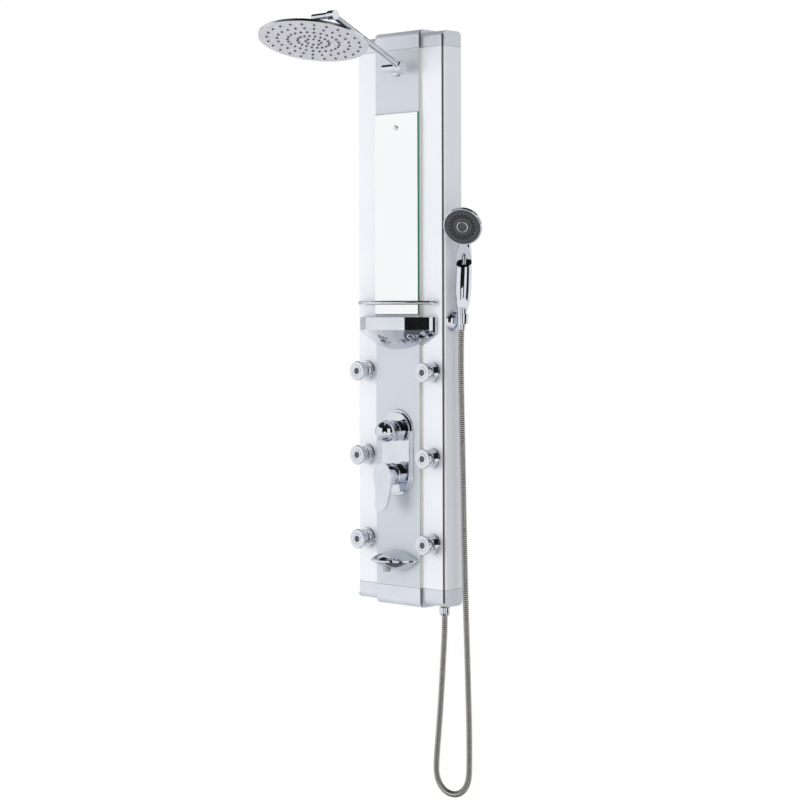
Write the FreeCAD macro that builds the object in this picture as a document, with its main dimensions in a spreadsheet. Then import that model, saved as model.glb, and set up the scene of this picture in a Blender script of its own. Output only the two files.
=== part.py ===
import FreeCAD, Part
import math
import os
import re
import Sketcher

# Wall-hung shower column. Millimetres. +X is the viewer's right, -Y is the front, +Z is up.
# The origin is the middle of the upper wall bracket's screw line, on the wall.
# Heights called *_level are measured up from the column's foot.

V = FreeCAD.Vector
RIGHT = V(1, 0, 0)
BACK = V(0, 1, 0)
UP = V(0, 0, 1)
FACING_FRONT = FreeCAD.Rotation(RIGHT, 90)      # a turned piece's axis points to the front, -Y
FACING_BACK = FreeCAD.Rotation(RIGHT, -90)
FACING_RIGHT = FreeCAD.Rotation(BACK, 90)       # the axis points to +X
UPSIDE_DOWN = FreeCAD.Rotation(BACK, 180)
UPRIGHT = FreeCAD.Rotation()

SIZES = {
    # column
    "panel_height": 1310, "panel_width": 270, "panel_depth": 60,
    "band_width": 136, "band_rise": 8, "corner_width": 5.5, "corner_depth": 6,
    "sheet_wall": 1.8, "edge_round": 1.2, "lip_inset": 12, "lip_width": 14,
    "bracket_drop": 150,
    # end caps
    "upper_cap_height": 42.4, "lower_cap_height": 45.3, "cap_wall": 3, "cap_round": 14,
    "cap_rear_round": 11, "cap_drop": 7, "corner_stop": 16, "tab_height": 22, "tab_wall": 4,
    "cap_screw_radius": 1.9, "cap_screw_rise": 12, "play": 0.3,
    # mirror
    "mirror_level": 664, "mirror_height": 459, "glass": 4, "glass_bevel": 1,
    "mirror_screw_drop": 34, "mirror_screw_radius": 2.4, "mirror_button_radius": 6,
    # shelf and its guard rail
    "shelf_level": 658, "shelf_half": 115, "shelf_reach": 61, "shelf_corner": 30, "shelf_wall": 2.6,
    "shelf_ball": 209.5, "shelf_ball_rise": 107, "shelf_ball_back": 98.4, "drain_radius": 3,
    "rail_rise": 33, "rail_radius": 4.5,
    # controls
    "control_level": 350, "control_spacing": 98.5, "plate_radius": 49, "plate_foot": 3.5,
    "plate_inset": 5.5, "plate_rise": 9, "plate_round": 2, "sleeve_radius": 25, "sleeve_length": 13,
    "cartridge_radius": 15.8, "control_hole": 20,
    "pivot_reach": 24, "dome_radius": 20, "dome_stem": 6, "lever_stem": 4, "lever_pin": 2.6,
    "lever_pin_half": 9, "lever_gap": 0.4, "lever_top": 27,
    "lever_tip": 18, "lever_drop": 64, "lever_back": 37, "lever_front": 53,
    "lever_flare": 11, "blade_wall": 6.5,
    "knob_radius": 25, "knob_reach": 39.5, "knob_base": 27.5, "knob_stem": 5, "running_gap": 0.05,
    # valve bodies behind the controls
    "hub_radius": 22, "hub_back": 28.5, "pipe_depth": 40, "inlet_spread": 40, "inlet_radius": 10.48,
    "inlet_length": 32, "thread_length": 14, "thread_relief": 2, "inlet_arm": 12,
    "inlet_shoulder": 13, "link_radius": 10, "boss_reach": 25, "outlet_boss_reach": 32,
    "outlet_boss_turn_deg": 140,
    "pipe_wall": 1.8, "tail_length": 18,
    # jets
    "jet_level": 147, "jet_pitch": 193.5, "jet_flange": 23.5, "jet_flange_wall": 4, "jet_ball": 13.5,
    "jet_ball_reach": 10, "jet_tail": 10, "jet_reach": 38, "jet_face": 22.5,
    "jet_nozzle": 6.5, "jet_bore": 4, "jet_waist_gap": 9, "jet_tail_back": 10, "tee_radius": 9,
    "tee_half": 24, "feed_tee_half": 14, "nut_wall": 5, "nut_height": 6, "plug_grip": 8,
    # spout
    "spout_wall": 3, "spout_level": 106.5, "spout_radius": 62, "spout_top": 21, "spout_bottom": 27,
    "spout_edge": 1.6,
    "spout_outlet_reach": 38, "spout_outlet_radius": 8.5, "spout_outlet_drop": 25,
    # swivel arm
    "arm_drop": 87.5, "stub_radius": 8, "arm_reach": 34, "arm_side": 42, "stub_flange": 17,
    "flange_rise": 8,
    "barrel_end": 9, "barrel_radius": 8.8, "pin_radius": 6.5,
    "arm_length": 236, "arm_rise_deg": 24, "arm_radius": 7,
    "lower_eye": 13.5, "upper_eye": 10.8, "eye_half": 9.5, "eye_cap": 2.5, "upper_barrel_radius": 7.5,
    "upper_barrel_end": 18, "upper_pin_radius": 5.8, "neck_side": 9,
    # rain head, hung from the upper barrel along its own tilted axis
    "head_drop": 57, "head_tilt_out_deg": 13.8, "head_tilt_side_deg": 5, "head_radius": 122,
    "head_edge": 4.5, "face_wall": 1.6, "ball_drop": 22, "head_ball": 9.5, "neck_radius": 4.5,
    "cup_radius": 12, "nozzle_radius": 2.2, "nozzle_rise": 1.8,
    # hand shower, its holder and the hose
    "holder_level": 648, "holder_depth": 30, "seat_reach": 27, "seat_rise": 7, "holder_radius": 23,
    "hand_lean_deg": 3, "hand_turn_deg": 29, "cone_top": 11.8, "cone_foot": 8.6, "cone_rise": 22,
    "cone_drop": 25, "seat_radius": 14.5, "seat_half": 11, "seat_slot": 15, "spigot_radius": 6,
    "hand_face": 44, "hand_rim": 2.8, "hand_face_rise": 205, "hand_face_reach": 30, "hand_tilt_deg": 23,
    "hose_radius": 7, "outlet_inset": 27, "outlet_depth": 30, "outlet_nut_radius": 12,
    "supply_radius": 6, "supply_wall": 1.2, "outlet_rise": 50, "outlet_end": 3, "outlet_nut_length": 19,
    # hanging rails and wall brackets
    "plate_wall": 2, "bracket_width": 180, "bracket_half": 18, "bracket_hole": 2.75,
    "bracket_hole_spacing": 140, "hook_rise": 32, "lower_bracket_level": 190,
}

# Sizes that follow from the ones above
FOLLOWING = {
    "half_width": "=panel_width / 2",
    "half_band": "=band_width / 2",
    "band_face": "=panel_depth + band_rise",
    "foot": "=bracket_drop - panel_height",
    "column_length": "=panel_height - upper_cap_height - lower_cap_height",
    "jet_side": "=(half_width + half_band) / 2",
    "arm_level": "=panel_height - arm_drop",
    "mixer_level": "=control_level - control_spacing / 2",
    "diverter_level": "=control_level + control_spacing / 2",
    "mirror_screw_level": "=mirror_level + mirror_height - mirror_screw_drop",
    "shelf_front": "=((shelf_half - shelf_corner)^2 + shelf_reach^2 - shelf_corner^2)"
                   " / (2 * (shelf_reach - shelf_corner))",
    "plate_half": "=control_spacing / 2",
    "jet_ball_seat": "=jet_ball + running_gap",
    "lever_sine": "=(lever_top - lever_tip) / lever_drop",
    "lever_cosine": "=sqrt(lever_drop^2 - (lever_top - lever_tip)^2) / lever_drop",
    "outlet_side": "=half_width - outlet_inset",
    "seat_side": "=half_width + seat_reach",
    "rail_plate_back": "=lip_inset - plate_wall",
    "upper_bracket_level": "=panel_height - bracket_drop",
}

doc = FreeCAD.newDocument("shower_column")
sheet = doc.addObject("Spreadsheet::Sheet", "sizes")
for row, (alias, amount) in enumerate(list(SIZES.items()) + list(FOLLOWING.items()), start=1):
    sheet.set(f"A{row}", alias)
    sheet.set(f"B{row}", str(amount))
    sheet.setAlias(f"B{row}", alias)
doc.recompute()

pieces = []          # every sub-part that is written out


def number(text):
    """The value of an expression of the sheet's sizes."""
    return float(sheet.evalExpression(str(text)))


def bound(text):
    """The same expression as another object refers to it."""
    return re.sub(r"(?!sqrt)\b[a-z][a-z_]*[a-z]", lambda word: "sizes." + word.group(), str(text))


def follows(thing, where, text):
    """Binds one property of a thing to an expression; a plain number is left as it was set."""
    if re.search("[a-z]", str(text)):
        thing.setExpression(where, bound(text))


def place(thing, x=0, y=0, z=0, turn=UPRIGHT):
    """Puts a sub-part in the column's frame, with its position bound to the sheet."""
    thing.Placement = FreeCAD.Placement(V(number(x), number(y), number(z)), turn)
    for letter, text in (("x", x), ("y", y), ("z", z)):
        follows(thing, f".Placement.Base.{letter}", text)
    return thing


def at_level(level):
    """The height in the column's frame of a level above its foot."""
    return f"foot + {level}"


# --- sketches and features ---------------------------------------------------------------------

def body(label):
    made = doc.addObject("PartDesign::Body", label)
    made.Label = label
    pieces.append(made)
    return made


def origin(owner, role):
    return next(part for part in owner.Origin.OriginFeatures if part.Role == role)


def sketch(owner, role, offset=0):
    made = owner.newObject("Sketcher::SketchObject", owner.Label + "_sketch")
    made.AttachmentSupport = [(origin(owner, role), "")]
    made.MapMode = "FlatFace"
    made.AttachmentOffset = FreeCAD.Placement(V(0, 0, number(offset)), UPRIGHT)
    follows(made, ".AttachmentOffset.Base.z", offset)
    return made


def dimension(target, kind, first, text):
    """Adds one dimension to a sketch and binds it."""
    index = target.addConstraint(Sketcher.Constraint(kind, *first, number(text)))
    if re.search("[a-z]", str(text)):
        name = f"size{index}"
        target.renameConstraint(index, name)
        target.setExpression(f"Constraints.{name}", bound(text))


def pin_down(target, edge, end, x, y):
    dimension(target, "DistanceX", (-1, 1, edge, end), x)
    dimension(target, "DistanceY", (-1, 1, edge, end), y)


def arc_between(start, finish, radius, side):
    """An arc of under half a circle; side is 1 with its centre to the left of start to finish."""
    along = finish - start
    rise = math.sqrt(max(radius ** 2 - along.Length ** 2 / 4, 0))
    centre = (start + finish) / 2 + V(-along.y, along.x, 0).normalize() * rise * side
    first, last = (start, finish) if side > 0 else (finish, start)
    angles = [math.atan2(end.y - centre.y, end.x - centre.x) for end in (first, last)]
    return Part.ArcOfCircle(Part.Circle(centre, UP, radius), *angles)


def draw(target, corners, closed=True):
    """Draws an outline. A corner is (x, y), or (x, y, radius, side) where an arc leaves it."""
    spots = [V(number(corner[0]), number(corner[1]), 0) for corner in corners]
    count = len(corners) if closed else len(corners) - 1
    ends = []
    for index in range(count):
        start, finish = spots[index], spots[(index + 1) % len(spots)]
        if len(corners[index]) == 2:
            edge = target.addGeometry(Part.LineSegment(start, finish))
            ends.append((edge, 1, 2))
            continue
        radius, side = corners[index][2:]
        edge = target.addGeometry(arc_between(start, finish, number(radius), side))
        ends.append((edge, 1, 2) if side > 0 else (edge, 2, 1))
        dimension(target, "Radius", (edge,), radius)
    for index in range(count):
        edge, start, _ = ends[index]
        if closed or index:
            before, _, finish = ends[index - 1]
            target.addConstraint(Sketcher.Constraint("Coincident", before, finish, edge, start))
        pin_down(target, edge, start, *corners[index][:2])
    if not closed:
        pin_down(target, ends[-1][0], ends[-1][2], *corners[-1][:2])
    return target


def ring(target, x, y, radius):
    """Draws a circle."""
    circle = Part.Circle(V(number(x), number(y), 0), UP, number(radius))
    edge = target.addGeometry(circle)
    pin_down(target, edge, 3, x, y)
    dimension(target, "Radius", (edge,), radius)
    return target


def feature(owner, kind, profile, **settings):
    made = owner.newObject("PartDesign::" + kind, f"{owner.Label}_{kind.lower()}")
    made.Profile = profile
    for name, amount in settings.items():
        if name == "Length":
            made.Length = number(amount)
            follows(made, "Length", amount)
        else:
            setattr(made, name, amount)
    return made


def pad(owner, profile, length, **settings):
    return feature(owner, "Pad", profile, Length=length, **settings)


def pocket(owner, profile, length=None, **settings):
    """Cuts a pocket, through all without a length, and makes sure that it removes something."""
    doc.recompute()
    before = owner.Shape.Volume
    if length is None:
        made = feature(owner, "Pocket", profile, Type="ThroughAll", **settings)
    else:
        made = feature(owner, "Pocket", profile, Length=length, **settings)
    doc.recompute()
    if owner.Shape.Volume > before - 0.01:
        raise ValueError(f"{made.Name} removes nothing")
    return made


def turned(label, corners):
    """A piece turned about its own Z axis; corners are (radius, height)."""
    made = body(label)
    profile = draw(sketch(made, "XZ_Plane"), corners)
    feature(made, "Revolution", profile, ReferenceAxis=(profile, ["V_Axis"]), Angle=360)
    return made


def mirrored(owner, originals, role="YZ_Plane"):
    made = owner.newObject("PartDesign::Mirrored", owner.Label + "_mirrored")
    made.Originals = originals
    made.MirrorPlane = (origin(owner, role), [""])
    owner.Tip = made
    return made


def repeated(owner, originals, role, length, count):
    made = owner.newObject("PartDesign::LinearPattern", owner.Label + "_row")
    made.Originals = originals
    made.Direction = (origin(owner, role), [""])
    made.Occurrences = count
    made.Length = number(length)
    follows(made, "Length", length)
    owner.Tip = made
    return made


def rounded(owner, radius, chosen, kind="Fillet"):
    """Rounds or chamfers the edges of the body's shape that the test picks."""
    doc.recompute()
    base = owner.Tip
    names = [f"Edge{index}" for index, edge in enumerate(base.Shape.Edges, start=1) if chosen(edge)]
    if not names:
        raise ValueError(f"no edge of {owner.Label} to round")
    made = owner.newObject("PartDesign::" + kind, f"{owner.Label}_{kind.lower()}")
    made.Base = (base, names)
    where = "Radius" if kind == "Fillet" else "Size"
    setattr(made, where, number(radius))
    follows(made, where, radius)
    return made


def upright_edge(spots):
    """A test for straight edges along Z that stand over one of the given (x, y) spots."""
    def chosen(edge):
        box = edge.BoundBox
        if box.XLength > 0.01 or box.YLength > 0.01:
            return False
        return any(math.hypot(abs(box.XMin) - x, box.YMin - y) < 0.01 for x, y in spots)
    return chosen


# --- primitives and booleans --------------------------------------------------------------------

def solid(kind, name, x=0, y=0, z=0, turn=UPRIGHT, **lengths):
    """A primitive whose sizes and position are bound to the sheet."""
    made = doc.addObject("Part::" + kind, name)
    for where, text in lengths.items():
        setattr(made, where, number(text))
        follows(made, where, text)
    return place(made, x, y, z, turn)


def cylinder(name, radius, length, x=0, y=0, z=0, turn=UPRIGHT):
    return solid("Cylinder", name, x, y, z, turn, Radius=radius, Height=length)


def ball(name, radius, x=0, y=0, z=0):
    return solid("Sphere", name, x, y, z, Radius=radius)


def block(name, x, y, z, dx, dy, dz):
    return solid("Box", name, x, y, z, Length=dx, Width=dy, Height=dz)


def fused(name, shapes):
    made = doc.addObject("Part::MultiFuse", name)
    made.Shapes = shapes
    made.Refine = True
    return made


def common(name, shapes):
    made = doc.addObject("Part::MultiCommon", name)
    made.Shapes = shapes
    return made


def cut(name, base, tool):
    made = doc.addObject("Part::Cut", name)
    made.Base = base
    made.Tool = tool
    return made


def finished(made, label, x=0, y=0, z=0, turn=UPRIGHT):
    """Names a boolean's result as a sub-part and puts it in place."""
    made.Label = label
    pieces.append(made)
    return place(made, x, y, z, turn)


def shaped(label, shape, spot=V(), turn=UPRIGHT):
    """A sub-part whose shape is worked out here; its placement is set after its shape."""
    made = doc.addObject("Part::Feature", label)
    made.Label = label
    made.Shape = shape
    made.Placement = FreeCAD.Placement(spot, turn)
    pieces.append(made)
    return made


def copies_of(pattern, spots, turn=UPRIGHT):
    """Identical separate solids at several spots."""
    placed = []
    for spot in spots:
        twin = pattern.copy()
        twin.Placement = FreeCAD.Placement(spot, turn).multiply(pattern.Placement)
        placed.append(twin)
    return placed


def copies(label, pattern, spots):
    """One node of identical separate solids."""
    return shaped(label, Part.makeCompound(copies_of(pattern, spots)))


def hidden_pattern(made):
    """Takes a piece off the list of sub-parts, for use as the pattern of a group."""
    pieces.remove(made)
    doc.recompute()
    return made.Shape


# --- column -------------------------------------------------------------------------------------

def column_extrusion():
    """Folded open-backed profile with a raised centre band, stepped corners and screw lips."""
    made = body("column_extrusion")
    step, wall, lip = "half_width - corner_width", "half_width - sheet_wall", "lip_inset + sheet_wall"
    half = draw(sketch(made, "XY_Plane", "lower_cap_height"), [
        (0, "-band_face"), ("half_band", "-band_face"), ("half_band", "-panel_depth"),
        (step, "-panel_depth"), (step, "corner_depth - panel_depth"),
        ("half_width", "corner_depth - panel_depth"), ("half_width", 0), (wall, 0),
        (wall, "-lip_inset"), (wall + " - lip_width", "-lip_inset"),
        (wall + " - lip_width", f"-({lip})"), (wall, f"-({lip})"),
        (wall, "corner_depth + sheet_wall - panel_depth"),
        (step + " - sheet_wall", "corner_depth + sheet_wall - panel_depth"),
        (step + " - sheet_wall", "sheet_wall - panel_depth"),
        ("half_band - sheet_wall", "sheet_wall - panel_depth"),
        ("half_band - sheet_wall", "sheet_wall - band_face"), (0, "sheet_wall - band_face"),
    ])
    mirrored(made, [pad(made, half, "column_length")])
    rounded(made, "edge_round", upright_edge([
        (number("half_band"), -number("band_face")), (number(step), -number("panel_depth")),
        (number("half_width"), number("corner_depth - panel_depth"))]))

    jets = sketch(made, "XZ_Plane")
    for side in ("jet_side", "-jet_side"):
        ring(jets, side, "jet_level", "jet_tail + play")
    repeated(made, [pocket(made, jets, Reversed=True)], "Z_Axis", "2 * jet_pitch", 3)

    front = sketch(made, "XZ_Plane")
    for level in ("mixer_level", "diverter_level"):
        ring(front, 0, level, "control_hole")
    ring(front, 0, "arm_level", "stub_radius + play")
    ring(front, 0, "spout_level", "stub_radius + play")
    ring(front, 0, "mirror_screw_level", "mirror_screw_radius + play")
    pocket(made, front, Reversed=True)

    side = ring(sketch(made, "YZ_Plane", "half_width - 2 * sheet_wall"),
                "-holder_depth", "holder_level", "stub_radius - 2 + play")
    pocket(made, side, "3 * sheet_wall", Reversed=True)

    lips = sketch(made, "XZ_Plane")
    for side in ("", "-"):
        across = f"{side}(half_width - sheet_wall - lip_width / 2)"
        for level in ("lower_cap_height + cap_screw_rise",
                      "panel_height - upper_cap_height - cap_screw_rise",
                      "lower_bracket_level", "upper_bracket_level"):
            ring(lips, across, level, "cap_screw_radius")
    pocket(made, lips, "lip_inset + 2 * sheet_wall", Reversed=True)
    return place(made, z="foot")


def end_cap(label, height, level, turn):
    """Moulded cap that carries the raised band over the end, hollow, with two screw tabs."""
    made = body(label)

    def side_view(face, top, inset, rear):
        return draw(sketch(made, "YZ_Plane"), [
            (f"-{inset}", 0), (f"{inset} - {face}", 0),
            (f"{inset} - {face}", f"{top} - cap_round", f"cap_round - {inset}", -1),
            (f"cap_round - {face}", f"{top} - {inset}"),
            ("-cap_rear_round", f"{top} - {inset}", rear, -1),
            (f"-{inset}", f"{top} - cap_rear_round"),
        ])

    band_top, side_top = height, f"{height} - cap_drop"
    pad(made, side_view("panel_depth", side_top, "0", "cap_rear_round"), "panel_width", Midplane=True)
    pad(made, side_view("band_face", band_top, "0", "cap_rear_round"), "band_width", Midplane=True)
    inner_round = "cap_rear_round - cap_wall"
    pocket(made, side_view("panel_depth", side_top, "cap_wall", inner_round),
           "panel_width - 2 * cap_wall", Midplane=True)
    pocket(made, side_view("band_face", band_top, "cap_wall", inner_round),
           "band_width - 2 * cap_wall", Midplane=True)
    notch = sketch(made, "XY_Plane")
    for side in ("", "-"):
        inner, outer = f"{side}(half_width - corner_width)", f"{side}half_width"
        draw(notch, [(inner, "-panel_depth"), (outer, "-panel_depth"),
                     (outer, "corner_depth - panel_depth"), (inner, "corner_depth - panel_depth")])
    pocket(made, notch, f"{height} - corner_stop", Reversed=True)
    lining = sketch(made, "XY_Plane")
    for side in ("", "-"):
        outer = f"{side}(half_width - cap_wall / 2)"
        inner = f"{side}(half_width - corner_width - cap_wall)"
        front, back = "cap_wall - 0.5 - panel_depth", "corner_depth + cap_wall - panel_depth"
        bend = f"{side}(half_width - corner_width)"
        draw(lining, [(inner, front), (bend, front), (bend, "corner_depth - panel_depth"),
                      (outer, "corner_depth - panel_depth"), (outer, back), (inner, back)])
    pad(made, lining, f"{height} - corner_stop + cap_wall / 2")
    tabs = sketch(made, "XZ_Plane", "lip_inset + sheet_wall")
    for side in ("", "-"):
        inner = f"{side}(half_width - sheet_wall - lip_width)"
        outer = f"{side}(half_width - sheet_wall - play)"
        draw(tabs, [(inner, "-tab_height"), (outer, "-tab_height"), (outer, "cap_wall * 5"),
                    (inner, "cap_wall * 5")])
    pad(made, tabs, "tab_wall")
    holes = sketch(made, "XZ_Plane")
    for side in ("", "-"):
        ring(holes, f"{side}(half_width - sheet_wall - lip_width / 2)", "-cap_screw_rise",
             "cap_screw_radius")
    pocket(made, holes, "lip_inset + sheet_wall + tab_wall", Reversed=True)
    return place(made, z=at_level(level), turn=turn)


def end_caps():
    end_cap("upper_end_cap", "upper_cap_height", "panel_height - upper_cap_height", UPRIGHT)
    lower = end_cap("lower_end_cap", "lower_cap_height", "lower_cap_height", UPSIDE_DOWN)
    outlet = ring(sketch(lower, "XY_Plane"), "-outlet_side", "-outlet_depth", "stub_radius + play")
    pocket(lower, outlet, Reversed=True)


def pan_screw(label, length):
    """Turned pan-head screw, its head's seat at zero and its shank below."""
    return turned(label, [
        (0, f"-{length}"), ("cap_screw_radius - 0.4", f"-{length}"), ("cap_screw_radius - 0.1", f"1 - {length}"),
        ("cap_screw_radius - 0.1", 0), ("2 * cap_screw_radius", 0),
        ("2 * cap_screw_radius", 1, "cap_screw_radius * 1.4", 1), ("cap_screw_radius / 2", 2.2), (0, 2.2)])


def lip_screws():
    """Screws through the rear lips: four hold the end caps, four the hanging rails."""
    across = number("half_width - sheet_wall - lip_width / 2")
    pattern = pan_screw("screw_pattern", "(sheet_wall + tab_wall)")
    place(pattern, turn=FACING_BACK)
    shape = hidden_pattern(pattern)
    caps = [number(text) for text in ("lower_cap_height + cap_screw_rise",
                                      "panel_height - upper_cap_height - cap_screw_rise")]
    back = -number("lip_inset")
    copies("end_cap_screws", shape, [V(side * across, back, number("foot") + level)
                                     for side in (-1, 1) for level in caps])
    rails = [number("lower_bracket_level"), number("upper_bracket_level")]
    back = -number("rail_plate_back")
    copies("hanging_rail_screws", shape, [V(side * across, back, number("foot") + level)
                                          for side in (-1, 1) for level in rails])


def strip(label, view, width, holes, level, y=0):
    """A bent strip: its side view padded along X, with screw holes."""
    made = body(label)
    pad(made, draw(sketch(made, "YZ_Plane"), view), width, Midplane=True)
    drilled = sketch(made, "XZ_Plane", "-panel_depth")
    for across, radius in holes:
        ring(drilled, across, 0, radius)
    pocket(made, drilled, Reversed=True)
    return place(made, y=y, z=at_level(level))


def hanging_hardware():
    """Brackets on the wall, each with a turned-up hook, and the rails that drop over the hooks."""
    hook_out, hook_top = "8.5", "hook_rise"
    bracket = [
        (0, "-bracket_half"), (0, "bracket_half"), (f"-{hook_out} + plate_wall", "bracket_half"),
        (f"-{hook_out} + plate_wall", hook_top), (f"-{hook_out}", hook_top),
        (f"-{hook_out}", "bracket_half - plate_wall"), ("-plate_wall", "bracket_half - plate_wall"),
        ("-plate_wall", "-bracket_half")]
    back = "rail_plate_back"
    rail = [
        ("-lip_inset", "-bracket_half"), ("-lip_inset", "hook_rise + plate_wall"),
        ("-3.5", "hook_rise + plate_wall"), ("-3.5", "hook_rise - 10"), ("-3.5 - plate_wall", "hook_rise - 10"),
        ("-3.5 - plate_wall", "hook_rise"), (f"-{back}", "hook_rise"), (f"-{back}", "-bracket_half")]
    across = "half_width - sheet_wall - lip_width / 2"
    for name in ("upper", "lower"):
        level = f"{name}_bracket_level"
        strip(f"{name}_wall_bracket", bracket, "bracket_width",
              [("bracket_hole_spacing / 2", "bracket_hole"), ("-bracket_hole_spacing / 2", "bracket_hole")], level)
        strip(f"{name}_hanging_rail", rail, "2 * (half_width - sheet_wall - 2 * play)",
              [(across, "cap_screw_radius"), (f"-({across})", "cap_screw_radius")], level)


# --- mirror, shelf and rail ----------------------------------------------------------------------

def mirror():
    made = body("mirror_glass")
    edge = "half_band - play"
    glass = draw(sketch(made, "XZ_Plane"), [(f"-({edge})", 0), (edge, 0), (edge, "mirror_height"),
                                            (f"-({edge})", "mirror_height")])
    pad(made, glass, "glass")
    hole = ring(sketch(made, "XZ_Plane"), 0, "mirror_height - mirror_screw_drop", "mirror_screw_radius + play")
    pocket(made, hole, Reversed=True)
    front = -number("glass")
    rounded(made, "glass_bevel", lambda edge: abs(edge.BoundBox.YMin - front) < 0.01
            and edge.BoundBox.YLength < 0.01 and edge.BoundBox.DiagonalLength > 20, "Chamfer")
    place(made, y="-band_face", z=at_level("mirror_level"))
    screw = turned("mirror_screw", [
        (0, -8), ("mirror_screw_radius", -8), ("mirror_screw_radius", "glass"),
        ("mirror_button_radius", "glass"), ("mirror_button_radius", "glass + 1.2", 10, 1),
        (2, "glass + 2.6"), (0, "glass + 2.6")])
    place(screw, y="-band_face", z=at_level("mirror_screw_level"), turn=FACING_FRONT)


def half_moon(inset):
    """Plan of the shelf: two tight corner arcs and one wide front arc, all tangent."""
    corner, front = f"(shelf_corner - {inset})", f"(shelf_front - {inset})"
    spread = "(shelf_half - shelf_corner)"
    run = f"{spread} / (shelf_front - shelf_corner)"
    join_x = f"{spread} + {corner} * {run}"
    join_y = f"{corner} * (shelf_reach - shelf_front) / (shelf_front - shelf_corner)"
    return [(f"shelf_half - {inset}", 0, corner, -1), (join_x, join_y, front, -1),
            (f"-({join_x})", join_y, corner, -1), (f"{inset} - shelf_half", 0)]


def shelf():
    """Half-moon bowl: an upright wall over a bottom that is part of one large ball."""
    holder = doc.addObject("PartDesign::Body", "shelf_plans")

    def bowl(inset, name, top):
        plan = draw(sketch(holder, "XY_Plane"), half_moon(inset))
        prism = doc.addObject("Part::Extrusion", name + "_prism")
        prism.Base = plan
        prism.DirMode = "Custom"
        prism.Dir = -UP
        prism.Solid = True
        prism.LengthFwd = 90
        prism.LengthRev = number(top)
        bottom = ball(name + "_bottom", f"shelf_ball - {inset}", y="shelf_ball_back", z="shelf_ball_rise")
        return common(name, [prism, bottom])

    outside = cut("shelf_outside", bowl(0, "shelf_outer", 0),
                  block("shelf_band", "-(half_band + play)", "-(band_rise + play)", -100,
                        "band_width + 2 * play", "band_rise + 2 * play", 200))
    inside = cut("shelf_inside", bowl("shelf_wall", "shelf_inner", 1),
                 fused("shelf_back", [
                     block("shelf_back_wide", "-shelf_half", "-shelf_wall", -100, "2 * shelf_half", 10, 200),
                     block("shelf_back_band", "-(half_band + play + shelf_wall)",
                           "-(band_rise + play + shelf_wall)", -100,
                           "band_width + 2 * (play + shelf_wall)", "band_rise + play + shelf_wall", 200)]))
    drains = fused("shelf_drains", [cylinder(f"shelf_drain_{index}", "drain_radius", 120,
                                             x=f"{index - 1} * 24", y="-shelf_reach / 2", z=-110)
                                    for index in range(3)])
    bowl_shape = cut("shelf_bowl", cut("shelf_hollow", outside, inside), drains)
    finished(bowl_shape, "shelf_bowl", y="-panel_depth", z=at_level("shelf_level"))

    rail = body("shelf_guard_rail")
    route = draw(sketch(rail, "XY_Plane"), half_moon(0), closed=False)
    section = ring(sketch(rail, "XZ_Plane"), "shelf_half", 0, "rail_radius")
    rod = rail.newObject("PartDesign::AdditivePipe", "rail_rod")
    rod.Profile = section
    rod.Spine = (route, ["Edge1", "Edge2", "Edge3"])
    place(rail, y="-panel_depth", z=at_level("shelf_level + rail_rise"))


# --- controls ------------------------------------------------------------------------------------

def stadium(target, radius):
    return draw(target, [
        (radius, "-plate_half"), (radius, "plate_half", radius, 1),
        (0, f"plate_half + {radius}", radius, 1), (f"-({radius})", "plate_half"),
        (f"-({radius})", "-plate_half", radius, 1), (0, f"-(plate_half + {radius})", radius, 1)])


def escutcheon():
    made = body("control_escutcheon")
    pad(made, stadium(sketch(made, "XZ_Plane"), "plate_radius"), "plate_foot")
    pad(made, stadium(sketch(made, "XZ_Plane", "plate_foot"), "plate_radius - plate_inset"),
        "plate_rise - plate_foot")
    holes = sketch(made, "XZ_Plane")
    for side in ("", "-"):
        ring(holes, 0, f"{side}plate_half", "control_hole")
    pocket(made, holes, Reversed=True)
    fronts = [-number("plate_foot"), -number("plate_rise")]
    inner, outer = number("control_hole"), number("plate_radius")

    def front_edges(edge):
        box = edge.BoundBox
        if box.YLength > 0.01 or not any(abs(box.YMin - front) < 0.01 for front in fronts):
            return False
        if box.YMin > fronts[1] + 0.01 and box.XMax < outer - 0.01 and box.XMin > 0.01 - outer:
            return False
        return box.XMax > inner + 1 or box.XMin < -inner - 1

    rounded(made, "plate_round", front_edges)
    return place(made, y="-band_face", z=at_level("control_level"))


def mixer():
    sleeve = turned("mixer_sleeve", [
        ("cartridge_radius + play", "plate_rise"), ("sleeve_radius", "plate_rise"),
        ("sleeve_radius", "plate_rise + 9", 4, 1), ("sleeve_radius - 3.6", "plate_rise + sleeve_length"),
        ("cartridge_radius + play", "plate_rise + sleeve_length")])
    socket = "dome_stem + running_gap"
    cartridge = turned("mixer_cartridge", [
        (0, "-sheet_wall"), ("cartridge_radius", "-sheet_wall"), ("cartridge_radius", "pivot_reach - 6"),
        (socket, "pivot_reach - 6"), (socket, "pivot_reach - 15"), (0, "pivot_reach - 15")])
    base = "plate_rise + sleeve_length + play - pivot_reach"
    collar = turned("mixer_collar", [
        (0, -14), ("dome_stem", -14), ("dome_stem", -5.7), (10, -5.7), (10, base),
        (f"sqrt(dome_radius^2 - ({base})^2)", base, "dome_radius", 1), (0, "dome_radius")])
    slot = draw(sketch(collar, "XY_Plane", -4.4), [
        ("-(lever_stem + play)", "-(lever_stem + play)"), ("lever_stem + play", "-(lever_stem + play)"),
        ("lever_stem + play", 13), ("-(lever_stem + play)", 13)])
    pocket(collar, slot, Reversed=True)
    cross = ring(sketch(collar, "YZ_Plane"), 0, 0, "lever_pin + running_gap")
    pocket(collar, cross, "2 * (lever_pin_half + play)", Midplane=True)
    for made in (sleeve, cartridge):
        place(made, y="-band_face", z=at_level("mixer_level"), turn=FACING_FRONT)
    place(collar, y="-(band_face + pivot_reach)", z=at_level("mixer_level"), turn=FACING_FRONT)


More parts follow.
